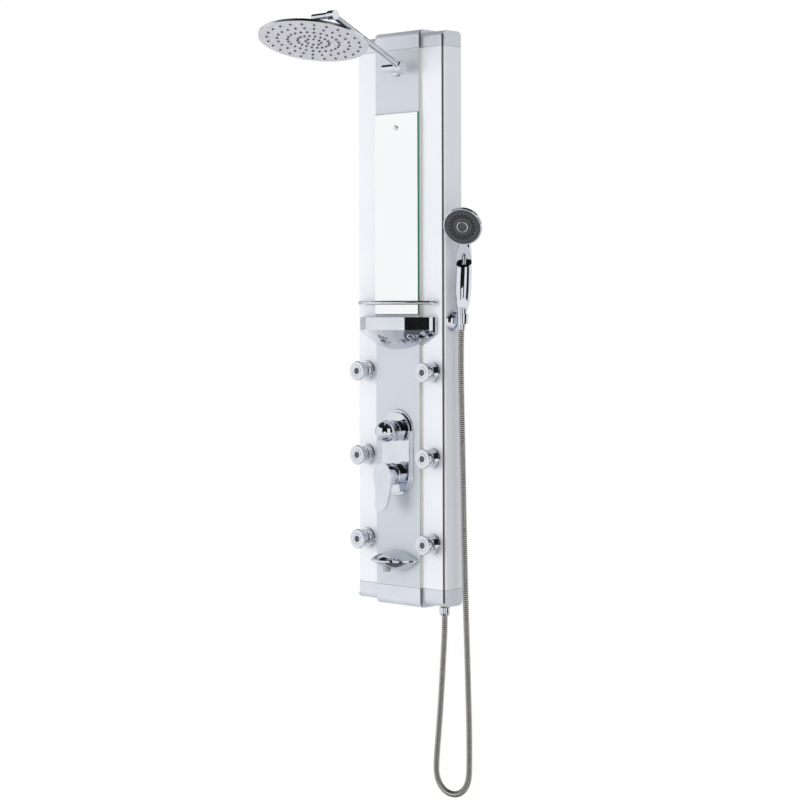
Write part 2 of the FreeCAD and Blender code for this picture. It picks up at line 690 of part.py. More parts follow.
def mixer_lever():
    """Front outline and side view, each padded, and what they have in common."""
    holder = doc.addObject("PartDesign::Body", "lever_views")
    front_view = draw(sketch(holder, "XZ_Plane"), [
        ("lever_top * lever_cosine", "-lever_top * lever_sine", "lever_top", 1),
        (0, "lever_top", "lever_top", 1),
        ("-lever_top * lever_cosine", "-lever_top * lever_sine"),
        ("-lever_tip * lever_cosine", "-lever_drop - lever_tip * lever_sine", "lever_tip", 1),
        (0, "-lever_drop - lever_tip", "lever_tip", 1),
        ("lever_tip * lever_cosine", "-lever_drop - lever_tip * lever_sine")])
    low = "-(lever_drop + lever_tip + 1)"
    high = "lever_top + 1"
    side_view = draw(sketch(holder, "YZ_Plane"), [
        ("-lever_back", high), ("3 - lever_front", high, 60, 1), ("-lever_front", 0),
        ("-lever_front", -18, 130, -1), ("-(lever_front + lever_flare)", low),
        ("blade_wall - lever_front - lever_flare", low, 120, 1),
        ("blade_wall - lever_front", -26), ("-lever_back", -18)])
    views = []
    for name, view, along, length in (("front", front_view, -BACK, "lever_front + lever_flare + 1"),
                                      ("side", side_view, RIGHT, "lever_top + 1")):
        made = doc.addObject("Part::Extrusion", f"lever_{name}")
        made.Base = view
        made.DirMode = "Custom"
        made.Dir = along
        made.Solid = True
        made.LengthFwd = number(length)
        follows(made, "LengthFwd", length)
        made.LengthRev = number(length) if name == "side" else 0
        if name == "side":
            follows(made, "LengthRev", length)
        views.append(made)
    blank = common("lever_blank", views)
    seat = ball("lever_seat", "dome_radius + lever_gap", y="-pivot_reach")
    stem = cylinder("lever_shank", "lever_stem", "dome_radius + 2", y="-pivot_reach", turn=FACING_FRONT)
    cross = cylinder("lever_cross", "lever_pin", "2 * lever_pin_half", x="-lever_pin_half", y="-pivot_reach",
                     turn=FACING_RIGHT)
    lever = fused("mixer_lever", [cut("lever_head", blank, seat), stem, cross])
    finished(lever, "mixer_lever", y="-band_face", z=at_level("mixer_level"))


def diverter():
    sleeve = turned("diverter_sleeve", [
        ("knob_stem + 4", "plate_rise"), ("sleeve_radius - 1", "plate_rise"),
        ("sleeve_radius - 1", "plate_rise + 7", 3, 1), ("sleeve_radius - 4", "plate_rise + 10"),
        ("sleeve_radius - 6", "plate_rise + 10"), ("sleeve_radius - 6", "plate_rise + sleeve_length"),
        ("knob_stem + 4", "plate_rise + sleeve_length")])
    front, back = "knob_reach + knob_radius", "knob_base - knob_reach"
    knob = turned("diverter_knob", [
        (0, "-sheet_wall - 8"), ("knob_stem", "-sheet_wall - 8"),
        ("knob_stem", "plate_rise + sleeve_length + play"), (17, "plate_rise + sleeve_length + play"),
        (18, "knob_base - 3"), (16, "knob_base - 3"), (16, "knob_base"),
        (f"sqrt(knob_radius^2 - ({back})^2)", "knob_base", "knob_radius", 1), (0, front)])
    bump = ring(sketch(knob, "XZ_Plane", "-knob_radius - 2"), 0, "knob_reach", 2.4)
    pad(knob, bump, 6)
    for made in (sleeve, knob):
        place(made, y="-band_face", z=at_level("diverter_level"), turn=FACING_FRONT)


def valve_bodies():
    """Brass hubs behind the controls, joined by a link; the two threaded inlets face the wall."""
    length = "band_face - sheet_wall - hub_back"
    depth = "-pipe_depth"
    hub = cylinder("mixer_hub", "hub_radius", length, y="-hub_back", turn=FACING_FRONT)
    arms = cylinder("mixer_arms", "inlet_arm", "2 * inlet_spread", x="-inlet_spread", y=depth,
                    turn=FACING_RIGHT)
    link = cylinder("mixer_link", "link_radius", "control_spacing - boss_reach", y=depth)
    castings = [hub, arms, link]
    shoulder = "inlet_length - thread_length - thread_relief"
    for index, side in enumerate(("", "-")):
        for name, radius, start, run in (
                ("thread", "inlet_radius", "inlet_length", "thread_length"),
                ("relief", "inlet_radius - 1", "inlet_length", "inlet_length"),
                ("shoulder", "inlet_shoulder", shoulder, shoulder)):
            castings.append(cylinder(f"mixer_{name}_{index}", radius, run, x=f"{side}inlet_spread",
                                     y=f"{start} - pipe_depth", turn=FACING_FRONT))
        castings.append(ball(f"mixer_elbow_{index}", "inlet_arm", x=f"{side}inlet_spread", y=depth))
    bores = [cylinder(f"mixer_bore_{index}", "inlet_radius - pipe_wall", "inlet_length + 1",
                      x=f"{side}inlet_spread", y="inlet_length + 1 - pipe_depth", turn=FACING_FRONT)
             for index, side in enumerate(("", "-"))]
    finished(cut("mixer_valve_body", fused("mixer_casting", castings), fused("mixer_bores", bores)),
             "mixer_valve_body", z=at_level("mixer_level"))

    castings = [
        cylinder("diverter_hub", "hub_radius", length, y="-hub_back", turn=FACING_FRONT),
        cylinder("diverter_low_boss", "link_radius", "boss_reach", y=depth, z="-boss_reach"),
        cylinder("diverter_top_boss", "link_radius", "boss_reach", y=depth),
        cylinder("diverter_side_bosses", "link_radius - 1", "2 * (boss_reach + 5)", x="-(boss_reach + 5)",
                 y=depth, turn=FACING_RIGHT)]
    for index, side in enumerate((1, -1)):
        castings.append(cylinder(f"diverter_outlet_boss_{index}", "link_radius - 2", "outlet_boss_reach",
                                 y=depth, turn=FreeCAD.Rotation(BACK, side * angle("outlet_boss_turn"))))
    bore = cylinder("diverter_bore", "knob_stem + running_gap", 14,
                    y="12 + sheet_wall - band_face", turn=FACING_FRONT)
    finished(cut("diverter_valve_body", fused("diverter_casting", castings), bore),
             "diverter_valve_body", z=at_level("diverter_level"))


# --- jets ----------------------------------------------------------------------------------------

def jet_spots(y):
    return [V(side * number("jet_side"), number(y), number(f"foot + jet_level + {row} * jet_pitch"))
            for row in range(3) for side in (-1, 1)]


def hexagon(target, radius):
    """Draws a hexagon by its half width across the corners."""
    return draw(target, [(f"({radius}) * {math.cos(math.pi * turn / 3):.6f}",
                          f"({radius}) * {math.sin(math.pi * turn / 3):.6f}") for turn in range(6)])


def hex_nut(label, radius, bore, height):
    made = body(label)
    pad(made, hexagon(sketch(made, "XY_Plane"), radius), height)
    pocket(made, ring(sketch(made, "XY_Plane"), 0, 0, bore), Reversed=True)
    return made


def jets():
    """Side jets: a socket through the panel, a ball that tilts up and down, a head that turns aside."""
    lip, mouth = "jet_ball_reach + 3", "jet_ball_reach - sqrt(jet_ball_seat^2 - jet_bore^2)"
    socket = turned("jet_socket_pattern", [
        ("jet_bore", "-jet_tail_back"), ("jet_tail", "-jet_tail_back"), ("jet_tail", 0), ("jet_flange", 0),
        ("jet_flange", "jet_flange_wall - 1"), ("jet_flange - 1", "jet_flange_wall"),
        (20, "jet_flange_wall"), ("sqrt(jet_ball_seat^2 - 9) + 3.2", lip),
        ("sqrt(jet_ball_seat^2 - 9)", lip, "jet_ball_seat", -1), ("jet_bore", mouth)])
    place(socket, turn=FACING_FRONT)
    copies("jet_sockets", hidden_pattern(socket), jet_spots("-panel_depth"))

    back = "sheet_wall - panel_depth"
    nut = hex_nut("jet_nut_pattern", "jet_tail + nut_wall", "jet_tail + running_gap", "nut_height")
    place(nut, turn=FACING_BACK)
    shapes = copies_of(hidden_pattern(nut), jet_spots(back))
    small = hex_nut("tail_nut_pattern", "stub_radius + nut_wall", "stub_radius + running_gap", "nut_height")
    place(small, turn=FACING_BACK)
    face = number("sheet_wall - band_face")
    shapes += copies_of(hidden_pattern(small), [V(0, face, number("foot + arm_level")),
                                                V(0, face, number("foot + spout_level"))])
    side = hex_nut("side_nut_pattern", "stub_radius + nut_wall - 2", "stub_radius - 2 + running_gap",
                   "nut_height")
    place(side, turn=FreeCAD.Rotation(BACK, -90))
    shapes += copies_of(hidden_pattern(side), [V(number("half_width - sheet_wall"), -number("holder_depth"),
                                                 number("foot + holder_level"))])
    shaped("back_nuts", Part.makeCompound(shapes))

    waist, grip = "jet_face - 3.5", "jet_face - 2"
    depth = "jet_reach - jet_ball_reach"
    mouth = "sqrt(jet_ball_seat^2 - jet_waist_gap^2)"
    for index, spot in enumerate(jet_spots("-(panel_depth + jet_ball_reach)"), start=1):
        globe = cut(f"jet_ball_{index}", ball(f"jet_globe_{index}", "jet_ball"),
                    cylinder(f"jet_port_{index}", "jet_bore", "3 * jet_ball", y="1.5 * jet_ball",
                             turn=FACING_FRONT))
        finished(globe, f"jet_ball_{index}", *spot)
        head = turned(f"jet_head_{index}", [
            (mouth, "jet_waist_gap"), (waist, "jet_waist_gap"), (waist, "jet_waist_gap + 2"),
            (grip, "jet_waist_gap + 3"), (grip, "jet_waist_gap + 5"), (f"{grip} - 1", "jet_waist_gap + 5.5"),
            (f"{grip} - 1", "jet_waist_gap + 6.5"), (grip, "jet_waist_gap + 7"), (grip, "jet_waist_gap + 9"),
            (f"{grip} - 1", "jet_waist_gap + 9.5"), (f"{grip} - 1", "jet_waist_gap + 10.5"),
            (grip, "jet_waist_gap + 11"), ("jet_face", "jet_waist_gap + 13"),
            ("jet_face", f"{depth} - 2", 2, 1),
            ("jet_face - 2", depth), ("jet_nozzle + 1", depth), ("jet_nozzle", f"{depth} - 3"),
            ("jet_bore", f"{depth} - 3"),
            ("jet_bore", "sqrt(jet_ball_seat^2 - jet_bore^2)", "jet_ball_seat", -1)])
        place(head, *spot, turn=FACING_FRONT)


# --- spout ---------------------------------------------------------------------------------------

def spout():
    """Disc spout: two shallow domes that meet in a thin edge, cut flat where it meets the band."""
    def lens(name, inset):
        top, low = f"(spout_top - {inset})", f"(spout_bottom - {inset})"
        radius, edge = f"(spout_radius - {inset} * 2.2)", "spout_edge"
        upper = f"({radius}^2 + ({top} - {edge})^2) / (2 * ({top} - {edge}))"
        lower = f"({radius}^2 + ({low} - {edge})^2) / (2 * ({low} - {edge}))"
        made = turned(name, [(0, f"-{low}", lower, 1), (radius, f"-{edge}"), (radius, edge, upper, 1),
                             (0, top)])
        pieces.remove(made)
        return made

    outer = cut("spout_outside", lens("spout_outer_lens", 0),
                block("spout_behind", -80, 0, -80, 160, 160, 160))
    inner = cut("spout_inside", lens("spout_inner_lens", "spout_wall"),
                block("spout_rear_wall", -80, "-spout_wall", -80, 160, 160, 160))
    shell = cut("spout_hollow", outer, inner)
    tail = cylinder("spout_tail", "stub_radius", "tail_length", y="tail_length", turn=FACING_FRONT)
    bores = fused("spout_bores", [
        cylinder("spout_tail_bore", "stub_radius - pipe_wall", "tail_length + 2 * spout_wall",
                 y="tail_length + spout_wall", turn=FACING_FRONT),
        cylinder("spout_mouth", "spout_outlet_radius + running_gap", 30, y="-spout_outlet_reach", z=-30)])
    finished(cut("spout_shell", fused("spout_blank", [shell, tail]), bores), "spout_shell",
             y="-band_face", z=at_level("spout_level"))
    outlet = turned("spout_outlet", [
        (0, "5 - spout_outlet_drop"), ("spout_outlet_radius - 2", "5 - spout_outlet_drop"),
        ("spout_outlet_radius - 2", "-spout_outlet_drop"), ("spout_outlet_radius", "-spout_outlet_drop"),
        ("spout_outlet_radius", -12), (0, -12)])
    place(outlet, y="-(band_face + spout_outlet_reach)", z=at_level("spout_level"))


# --- swivel arm and rain head ---------------------------------------------------------------------

def angle(name):
    return SIZES[name + "_deg"]


def arm_tip():
    """The upper hinge's centre: back to front, then height, in the column's frame."""
    rise = math.radians(angle("arm_rise"))
    return (-number("band_face + arm_reach") - number("arm_length") * math.cos(rise),
            number("foot + arm_level") + number("arm_length") * math.sin(rise))


def head_turn():
    return FreeCAD.Rotation(RIGHT, -angle("head_tilt_out")).multiply(
        FreeCAD.Rotation(BACK, -angle("head_tilt_side")))


def head_ball_spot():
    depth, height = arm_tip()
    return V(-number("neck_side"), depth, height) - head_turn().multVec(UP) * number("ball_drop")


def swivel_arm():
    """A stub with a sideways barrel, an arm with an eye at each end, and the head's own barrel."""
    barrel = "arm_side - eye_half - play"
    pin_end = "arm_side + eye_half - eye_cap - play"
    reach = "-(band_face + arm_reach)"
    flange = turned("arm_flange", [
        ("stub_radius + running_gap", 0), ("stub_flange", 0), ("stub_flange", 1.5, 12, 1),
        ("stub_radius + 2.5", "flange_rise"), ("stub_radius + running_gap", "flange_rise")])
    place(flange, y="-band_face", z=at_level("arm_level"), turn=FACING_FRONT)
    blank = fused("arm_union_blank", [
        cylinder("arm_stub", "stub_radius", "tail_length + arm_reach", y="tail_length - band_face",
                 turn=FACING_FRONT),
        cylinder("arm_barrel", "barrel_radius", f"barrel_end + {barrel}", x="-barrel_end", y=reach,
                 turn=FACING_RIGHT),
        cylinder("arm_pin", "pin_radius", pin_end, y=reach, turn=FACING_RIGHT)])
    bore = cylinder("arm_stub_bore", "stub_radius - pipe_wall", "tail_length + arm_reach + 1",
                    y="tail_length + 1 - band_face", turn=FACING_FRONT)
    finished(cut("arm_union", blank, bore), "arm_union", z=at_level("arm_level"))

    tip_y, tip_z = arm_tip()
    low_z = number("foot + arm_level")
    up_y, up_z = tip_y - number(reach), tip_z - low_z
    eye_x, eye = "arm_side - eye_half", "2 * eye_half"
    along = FreeCAD.Rotation(RIGHT, 90 - angle("arm_rise"))
    blank = fused("swivel_arm_blank", [
        cylinder("lower_eye_blank", "lower_eye", eye, x=eye_x, turn=FACING_RIGHT),
        cylinder("upper_eye_blank", "upper_eye", eye, x=eye_x, y=up_y, z=up_z, turn=FACING_RIGHT),
        cylinder("arm_pipe", "arm_radius", "arm_length", x="arm_side", turn=along)])
    bores = fused("swivel_arm_bores", [
        cylinder("lower_eye_bore", "pin_radius + running_gap", f"{eye} - eye_cap", x=eye_x, turn=FACING_RIGHT),
        cylinder("upper_eye_bore", "upper_pin_radius + running_gap", f"{eye} - eye_cap", x=eye_x,
                 y=up_y, z=up_z, turn=FACING_RIGHT),
        cylinder("arm_pipe_bore", "arm_radius - pipe_wall", "arm_length", x="arm_side", turn=along)])
    finished(cut("swivel_arm", blank, bores), "swivel_arm", y=reach, z=at_level("arm_level"))

    spot = head_ball_spot()
    blank = fused("head_elbow_blank", [
        cylinder("head_barrel", "upper_barrel_radius", f"upper_barrel_end + {barrel}",
                 x="-upper_barrel_end", turn=FACING_RIGHT),
        cylinder("head_pin", "upper_pin_radius", pin_end, turn=FACING_RIGHT),
        cylinder("head_neck", "neck_radius", "ball_drop", *(spot - V(0, tip_y, tip_z)), turn=head_turn()),
        ball("head_globe", "head_ball", *(spot - V(0, tip_y, tip_z)))])
    down = spot - V(0, tip_y, tip_z) - head_turn().multVec(UP) * number("head_ball + 1")
    bore = cylinder("head_neck_bore", "neck_radius - pipe_wall", "head_ball + ball_drop + 1", *down,
                    turn=head_turn())
    finished(cut("head_elbow", blank, bore), "head_elbow", y=tip_y, z=tip_z)


def nozzles(owner, face, rings, radius, rise):
    """Rings of eight-sided nozzles that stand out of a face turned down or forward."""
    for index, (reach, count) in enumerate(rings):
        spot = sketch(owner, "XY_Plane", face)
        steps = [math.pi * (turn + 0.5) / 4 for turn in range(8)]
        draw(spot, [(f"{reach} + {radius} * {math.cos(step):.6f}", f"{radius} * {math.sin(step):.6f}")
                    for step in steps])
        stud = pad(owner, spot, rise, Reversed=True)
        around = owner.newObject("PartDesign::PolarPattern", f"{owner.Label}_ring_{index}")
        around.Originals = [stud]
        around.Axis = (origin(owner, "Z_Axis"), [""])
        around.Angle = 360
        around.Occurrences = count
        owner.Tip = around


HEAD_RINGS = ((103, 24), (80, 24), (57, 24), (35, 18), (17, 8))
HAND_RINGS = ((24, 20), (11.5, 10))


def rain_head():
    """Two nested ball seats carry the head, so that it tips two ways; the shell is hollow."""
    inner, outer, seat = "(head_ball + running_gap)", "cup_radius", "(cup_radius + running_gap)"
    cup = turned("head_ball_cup", [
        (f"sqrt({inner}^2 - 64)", -8), (f"sqrt({outer}^2 - 64)", -8, outer, 1), (f"sqrt({outer}^2 - 36)", 6),
        (f"sqrt({inner}^2 - 36)", 6, inner, -1)])
    rim = "ball_drop - head_drop"
    shell = turned("rain_head_shell", [
        (f"sqrt({seat}^2 - 64)", 8, seat, -1), (8, f"-sqrt({seat}^2 - 64)"), (8, -16), (13, -18.5),
        (28, -25), ("head_radius - 6", f"{rim} + head_edge - 0.4"), ("head_radius - 6", f"{rim} + face_wall"),
        ("head_radius - face_wall", f"{rim} + face_wall"), ("head_radius - face_wall", rim),
        ("head_radius", rim), ("head_radius", f"{rim} + head_edge", 3, 1),
        ("head_radius - 3", f"{rim} + head_edge + 2"), (30, -23, 14, -1), (16, -16), (14, 0), (11, 8)])
    face = body("rain_head_face")
    plate = ring(sketch(face, "XY_Plane", rim), 0, 0, "head_radius - face_wall - running_gap")
    pad(face, plate, "face_wall")
    nozzles(face, rim, HEAD_RINGS, "nozzle_radius", "nozzle_rise")
    for made in (cup, shell, face):
        place(made, *head_ball_spot(), turn=head_turn())


# --- hand shower and holder -----------------------------------------------------------------------

LEAN = FreeCAD.Rotation(BACK, angle("hand_lean"))
HAND_TURN = LEAN.multiply(FreeCAD.Rotation(UP, angle("hand_turn")))


def seat_spot():
    return V(number("seat_side"), -number("holder_depth"), number("foot + holder_level + seat_rise"))


def holder():
    """Rosette and arm on the panel's side with an open conical cup for the hose's upper nut."""
    seat = seat_spot() - V(number("half_width"), -number("holder_depth"), number("foot + holder_level"))
    cup_foot = seat - LEAN.multVec(UP) * number("seat_half")
    cone_foot = seat - LEAN.multVec(UP) * number("cone_drop")
    slot = seat + LEAN.multVec(V(-number("seat_slot") / 2, -2 * number("seat_radius"), -number("cone_drop")))
    rosette = solid("Cone", "holder_rosette", turn=FACING_RIGHT, Radius1="holder_radius",
                    Radius2="holder_radius - 5", Height=5)
    blank = fused("holder_blank", [
        rosette,
        cylinder("holder_arm", "stub_radius", "seat_reach", turn=FACING_RIGHT),
        cylinder("holder_tail", "stub_radius - 2", "14", x=-14, turn=FACING_RIGHT),
        cylinder("holder_cup", "seat_radius", "2 * seat_half", *cup_foot, turn=LEAN)])
    bores = fused("holder_bores", [
        solid("Cone", "holder_cone", *cone_foot, turn=LEAN, Radius1="cone_foot + running_gap",
              Radius2="cone_top + running_gap", Height="cone_rise + cone_drop"),
        solid("Box", "holder_slot", *slot, turn=LEAN, Length="seat_slot", Width="2 * seat_radius",
              Height="cone_rise + cone_drop")])
    finished(cut("handset_holder", blank, bores), "handset_holder", x="half_width", y="-holder_depth",
             z=at_level("holder_level"))


def hand_shower():
    nut = turned("hose_upper_nut", [
        (3, "-cone_drop"), ("cone_foot", "-cone_drop"), ("cone_top", "cone_rise"),
        ("spigot_radius", "cone_rise"), ("spigot_radius", "cone_rise + 10"), (3, "cone_rise + 10")])
    place(nut, *seat_spot(), turn=LEAN)
    handle = turned("hand_handle", [
        ("spigot_radius + running_gap", "cone_rise + play"), (13, "cone_rise + play"), (14.5, "cone_rise + 4", 260, 1),
        (18.5, 76, 1400, 1), (15, 168, 17, 1), (0, 186), (0, 150), (5, 150),
        (5, "cone_rise + 11"), ("spigot_radius + running_gap", "cone_rise + 11")])
    face_spot = V(0, -number("hand_face_reach"), number("hand_face_rise"))
    face_turn = FreeCAD.Rotation(RIGHT, 90 + angle("hand_tilt"))
    head = turned("hand_head", [
        (9, -30), (0, -30), (0, "-hand_rim"), ("hand_face - hand_rim", "-hand_rim"), ("hand_face - hand_rim", 0),
        ("hand_face - 1", 0), ("hand_face", -1), ("hand_face", -7, 24, -1), (35, -22, 60, -1)])
    place(head, *face_spot, turn=face_turn)
    for made in (handle, head):
        pieces.remove(made)
    floor = face_spot - face_turn.multVec(UP) * number("hand_rim")
    front = fused("hand_front", [
        cylinder("hand_recess", "hand_face - hand_rim", "hand_face", *floor, turn=face_turn),
        cylinder("hand_trim", "2 * hand_face", "hand_face", *face_spot, turn=face_turn)])
    finished(cut("handset_shell", fused("hand_blank", [handle, head]), front), "handset_shell",
             *seat_spot(), turn=HAND_TURN)

    front = seat_spot() + HAND_TURN.multVec(face_spot)
    front_turn = HAND_TURN.multiply(face_turn)
    face = body("handset_face")
    plate = ring(sketch(face, "XY_Plane", "-hand_rim"), 0, 0, "hand_face - hand_rim - running_gap")
    pad(face, plate, "hand_rim - 0.6")
    for reach, count in HAND_RINGS:
        spot = sketch(face, "XY_Plane", -0.6)
        draw(spot, [(reach + 1.6, -1.6), (reach + 1.6, 1.6), (reach - 1.6, 1.6), (reach - 1.6, -1.6)])
        stud = pad(face, spot, 1.6)
        around = face.newObject("PartDesign::PolarPattern", f"handset_ring_{count}")
        around.Originals = [stud]
        around.Axis = (origin(face, "Z_Axis"), [""])
        around.Angle = 360
        around.Occurrences = count
        face.Tip = around
    ring_piece = turned("handset_spray_ring", [
        (30, -0.6), (36, -0.6), (35, 0.8), (31, 0.8)])
    for made in (face, ring_piece):
        place(made, *front, turn=front_turn)


# --- hose and supply tubes ------------------------------------------------------------------------

def tangent_route(points):
    """Straight runs joined by tangent arcs; returns the wire and the arcs' radii."""
    edges, radii = [], []
    start = points[0]
    for before, corner, after in zip(points, points[1:], points[2:]):
        arriving, leaving = (corner - before), (after - corner)
        half = arriving.getAngle(leaving) / 2
        back = 0.45 * min(arriving.Length, leaving.Length)
        radii.append(back / math.tan(half))
        arriving.normalize()
        leaving.normalize()
        first, last = corner - arriving * back, corner + leaving * back
        towards = (leaving - arriving).normalize()
        middle = corner + towards * (radii[-1] / math.cos(half) - radii[-1])
        edges.append(Part.LineSegment(start, first).toShape())
        edges.append(Part.Arc(first, middle, last).toShape())
        start = last
    edges.append(Part.LineSegment(start, points[-1]).toShape())
    return Part.Wire(edges), radii


def swept(points, radius):
    route, radii = tangent_route(points)
    along = points[1] - points[0]
    section = Part.Wire([Part.makeCircle(radius, points[0], along)])
    return route.makePipeShell([section], True, False), route.Length, radii


def tube(points, radius, bore):
    """A bent tube with its bore; the bore's ends are carried past the tube's ends."""
    outside, length, radii = swept(points, radius)
    inside, _, _ = swept(points, bore)
    return outside.cut(inside), length, radii


HOSE_POINTS = [          # across, and level, in the plane of the hose
    (108, -16), (108, -42), (105.5, -85), (101, -145), (95.5, -213), (89, -280), (82.5, -337),
    (80.5, -387), (110, -416.5), (150, -416), (179, -387), (181, -330), (180.5, -260), (178, -175),
    (175, -85), (171.5, 5), (168.8, 95), (166.6, 190), (164.6, 290), (162.4, 390), (160.2, 480),
    (158.9, 550)]


def hose():
    level = number("foot")
    top = seat_spot() - LEAN.multVec(UP) * number("cone_drop")
    last = top - LEAN.multVec(UP) * 2 * number("hose_radius")
    points = [V(across, -number("outlet_depth"), level + rise) for across, rise in HOSE_POINTS]
    points += [last, top]
    made, length, radii = tube(points, number("hose_radius"), number("hose_radius") - 2)
    print("hose length", round(length, 1), "least radius", round(min(radii), 1))
    shaped("shower_hose", made)

    outlet = turned("hose_outlet", [
        (4, "outlet_end"), ("stub_radius", "outlet_end"), ("stub_radius", "outlet_rise"), (4, "outlet_rise")])
    nut = turned("hose_lower_nut", [
        (4, "outlet_end - outlet_nut_length"), ("outlet_nut_radius - 2.5", "outlet_end - outlet_nut_length"),
        ("outlet_nut_radius", "outlet_end - outlet_nut_length + 5"), ("outlet_nut_radius", "outlet_end - 1"),
        ("outlet_nut_radius - 1", "outlet_end"), (4, "outlet_end")])
    for made in (outlet, nut):
        place(made, x="outlet_side", y="-outlet_depth", z="foot")


def fitting(name, ends):
    """A pipe fitting: cylinders from its centre, each with a bore; ends are (turn, radius, length)."""
    arms = [cylinder(f"{name}_arm_{index}", radius, length, turn=turn)
            for index, (turn, radius, length) in enumerate(ends)]
    bores = [cylinder(f"{name}_bore_{index}", "supply_radius - supply_wall", f"{length} + 1", turn=turn)
             for index, (turn, radius, length) in enumerate(ends)]
    made = cut(name, fused(name + "_blank", arms), fused(name + "_bores", bores))
    doc.recompute()
    return made.Shape


def supply():
    """Tees on the jets' tails, feed tees level with the diverter, and the pipes between them."""
    depth = -number("pipe_depth")
    foot = number("foot")
    side, half, feed = number("jet_side"), number("tee_half"), number("feed_tee_half")
    jets_at = [number(f"jet_level + {row} * jet_pitch") for row in range(3)]
    control = number("diverter_level")
    forward = "panel_depth - jet_tail_back - pipe_depth"
    tee = fitting("jet_tee", [(UPRIGHT, "tee_radius", "tee_half"), (UPSIDE_DOWN, "tee_radius", "tee_half"),
                              (FACING_FRONT, "jet_tail", forward)])
    solids = copies_of(tee, jet_spots("-pipe_depth"))
    for sign, turn in ((1, FreeCAD.Rotation(BACK, -90)), (-1, FACING_RIGHT)):
        tee = fitting("feed_tee", [(UPRIGHT, "tee_radius", "feed_tee_half"),
                                   (UPSIDE_DOWN, "tee_radius", "feed_tee_half"),
                                   (turn, "tee_radius", "feed_tee_half")])
        solids += copies_of(tee, [V(sign * side, depth, foot + control)])
    front = (FACING_FRONT, "stub_radius + 1", "band_face - tail_length - pipe_depth")
    elbow = fitting("arm_elbow", [(UPSIDE_DOWN, "tee_radius", "tee_half"), front])
    solids += copies_of(elbow, [V(0, depth, foot + number("arm_level"))])
    elbow = fitting("spout_elbow", [(UPRIGHT, "tee_radius", "tee_half"), front])
    solids += copies_of(elbow, [V(0, depth, foot + number("spout_level"))])
    shaped("supply_fittings", Part.makeCompound(solids))

    plug = hex_nut("plug_pattern", "plug_grip", 1, "nut_height")
    shape = hidden_pattern(plug)
    ends = [V(sign * side, depth, foot + jets_at[2] + half) for sign in (-1, 1)]
    solids = copies_of(shape, ends)
    ends = [V(sign * side, depth, foot + jets_at[0] - half) for sign in (-1, 1)]
    solids += copies_of(shape, ends, UPSIDE_DOWN)
    shaped("tee_plugs", Part.makeCompound(solids))

    radius, bore = number("supply_radius"), number("supply_radius - supply_wall")

    def straight(start, finish):
        along = finish - start
        return Part.makeCylinder(radius, along.Length, start, along).cut(
            Part.makeCylinder(bore, along.Length, start, along))

    pipes = []
    for sign in (-1, 1):
        runs = [(jets_at[0] + half, jets_at[1] - half), (jets_at[1] + half, control - feed),
                (control + feed, jets_at[2] - half)]
        pipes += [straight(V(sign * side, depth, foot + low), V(sign * side, depth, foot + high))
                  for low, high in runs]
        pipes.append(straight(V(sign * number("boss_reach + 5"), depth, foot + control),
                              V(sign * (side - feed), depth, foot + control)))
    shaped("jet_supply_tubes", Part.makeCompound(pipes))

    shaped("rain_head_supply_tube", straight(V(0, depth, foot + control + number("boss_reach")),
                                             V(0, depth, foot + number("arm_level") - half)))

    leaving = FreeCAD.Rotation(BACK, angle("outlet_boss_turn")).multVec(UP)
    start = V(0, depth, foot + control) + leaving * number("outlet_boss_reach")
    clear = number("inlet_spread + inlet_shoulder + supply_radius") + 3
    bend = start + leaving * ((clear - start.x) / leaving.x)
    across = V(number("outlet_side"), -number("outlet_depth"), foot)
    to_hose, _, _ = tube([start, bend, V(clear, depth, foot + 215), V(clear + 1, depth, foot + 118),
                          across + V(0, 0, 86), across + V(0, 0, number("outlet_rise"))], radius, bore)
    flip = [V(-spot.x, spot.y, spot.z) for spot in (start, bend)]
    low = number("spout_level + tee_half")
    to_spout, _, _ = tube(flip + [V(-clear, depth, foot + 215), V(0, depth, foot + low + 38),
                                  V(0, depth, foot + low)], radius, bore)
    shaped("outlet_supply_tubes", Part.makeCompound([to_hose, to_spout]))


# --- build and write ------------------------------------------------------------------------------

column_extrusion()
end_caps()
lip_screws()
hanging_hardware()
mirror()
shelf()
escutcheon()
mixer()
mixer_lever()
diverter()
valve_bodies()
jets()
spout()
swivel_arm()
rain_head()
holder()
hand_shower()
hose()
supply()
doc.recompute()

for made in doc.Objects:
    if {"Invalid", "Error"} & set(made.State):
        raise ValueError(f"{made.Label} is not up to date: {made.State}")
os.makedirs("parts", exist_ok=True)
for made in pieces:
    if made.Shape.isNull() or not made.Shape.isValid() or not made.Shape.Solids:
        raise ValueError(f"{made.Label} has no valid solid")
    made.Shape.exportStep(f"parts/{made.Label}.step")
print(len(pieces), "sub-parts")
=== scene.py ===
import bmesh
import bpy
import math
from mathutils import Matrix, Vector


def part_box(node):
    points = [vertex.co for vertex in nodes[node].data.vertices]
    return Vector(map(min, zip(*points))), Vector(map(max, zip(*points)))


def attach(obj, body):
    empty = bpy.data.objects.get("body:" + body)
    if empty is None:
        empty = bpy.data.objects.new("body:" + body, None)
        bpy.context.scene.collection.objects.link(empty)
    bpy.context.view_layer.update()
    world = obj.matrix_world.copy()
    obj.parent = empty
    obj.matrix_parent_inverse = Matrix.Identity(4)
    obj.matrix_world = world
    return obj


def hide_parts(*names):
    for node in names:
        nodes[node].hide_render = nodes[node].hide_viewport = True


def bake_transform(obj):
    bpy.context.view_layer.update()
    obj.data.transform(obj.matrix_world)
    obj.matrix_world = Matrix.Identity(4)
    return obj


# Wall-hung shower column, dressed for looks. Metres; +X right, -Y front, +Z up, origin at the
# middle of the upper wall bracket's screws. The column's foot is 1160 mm below the origin.

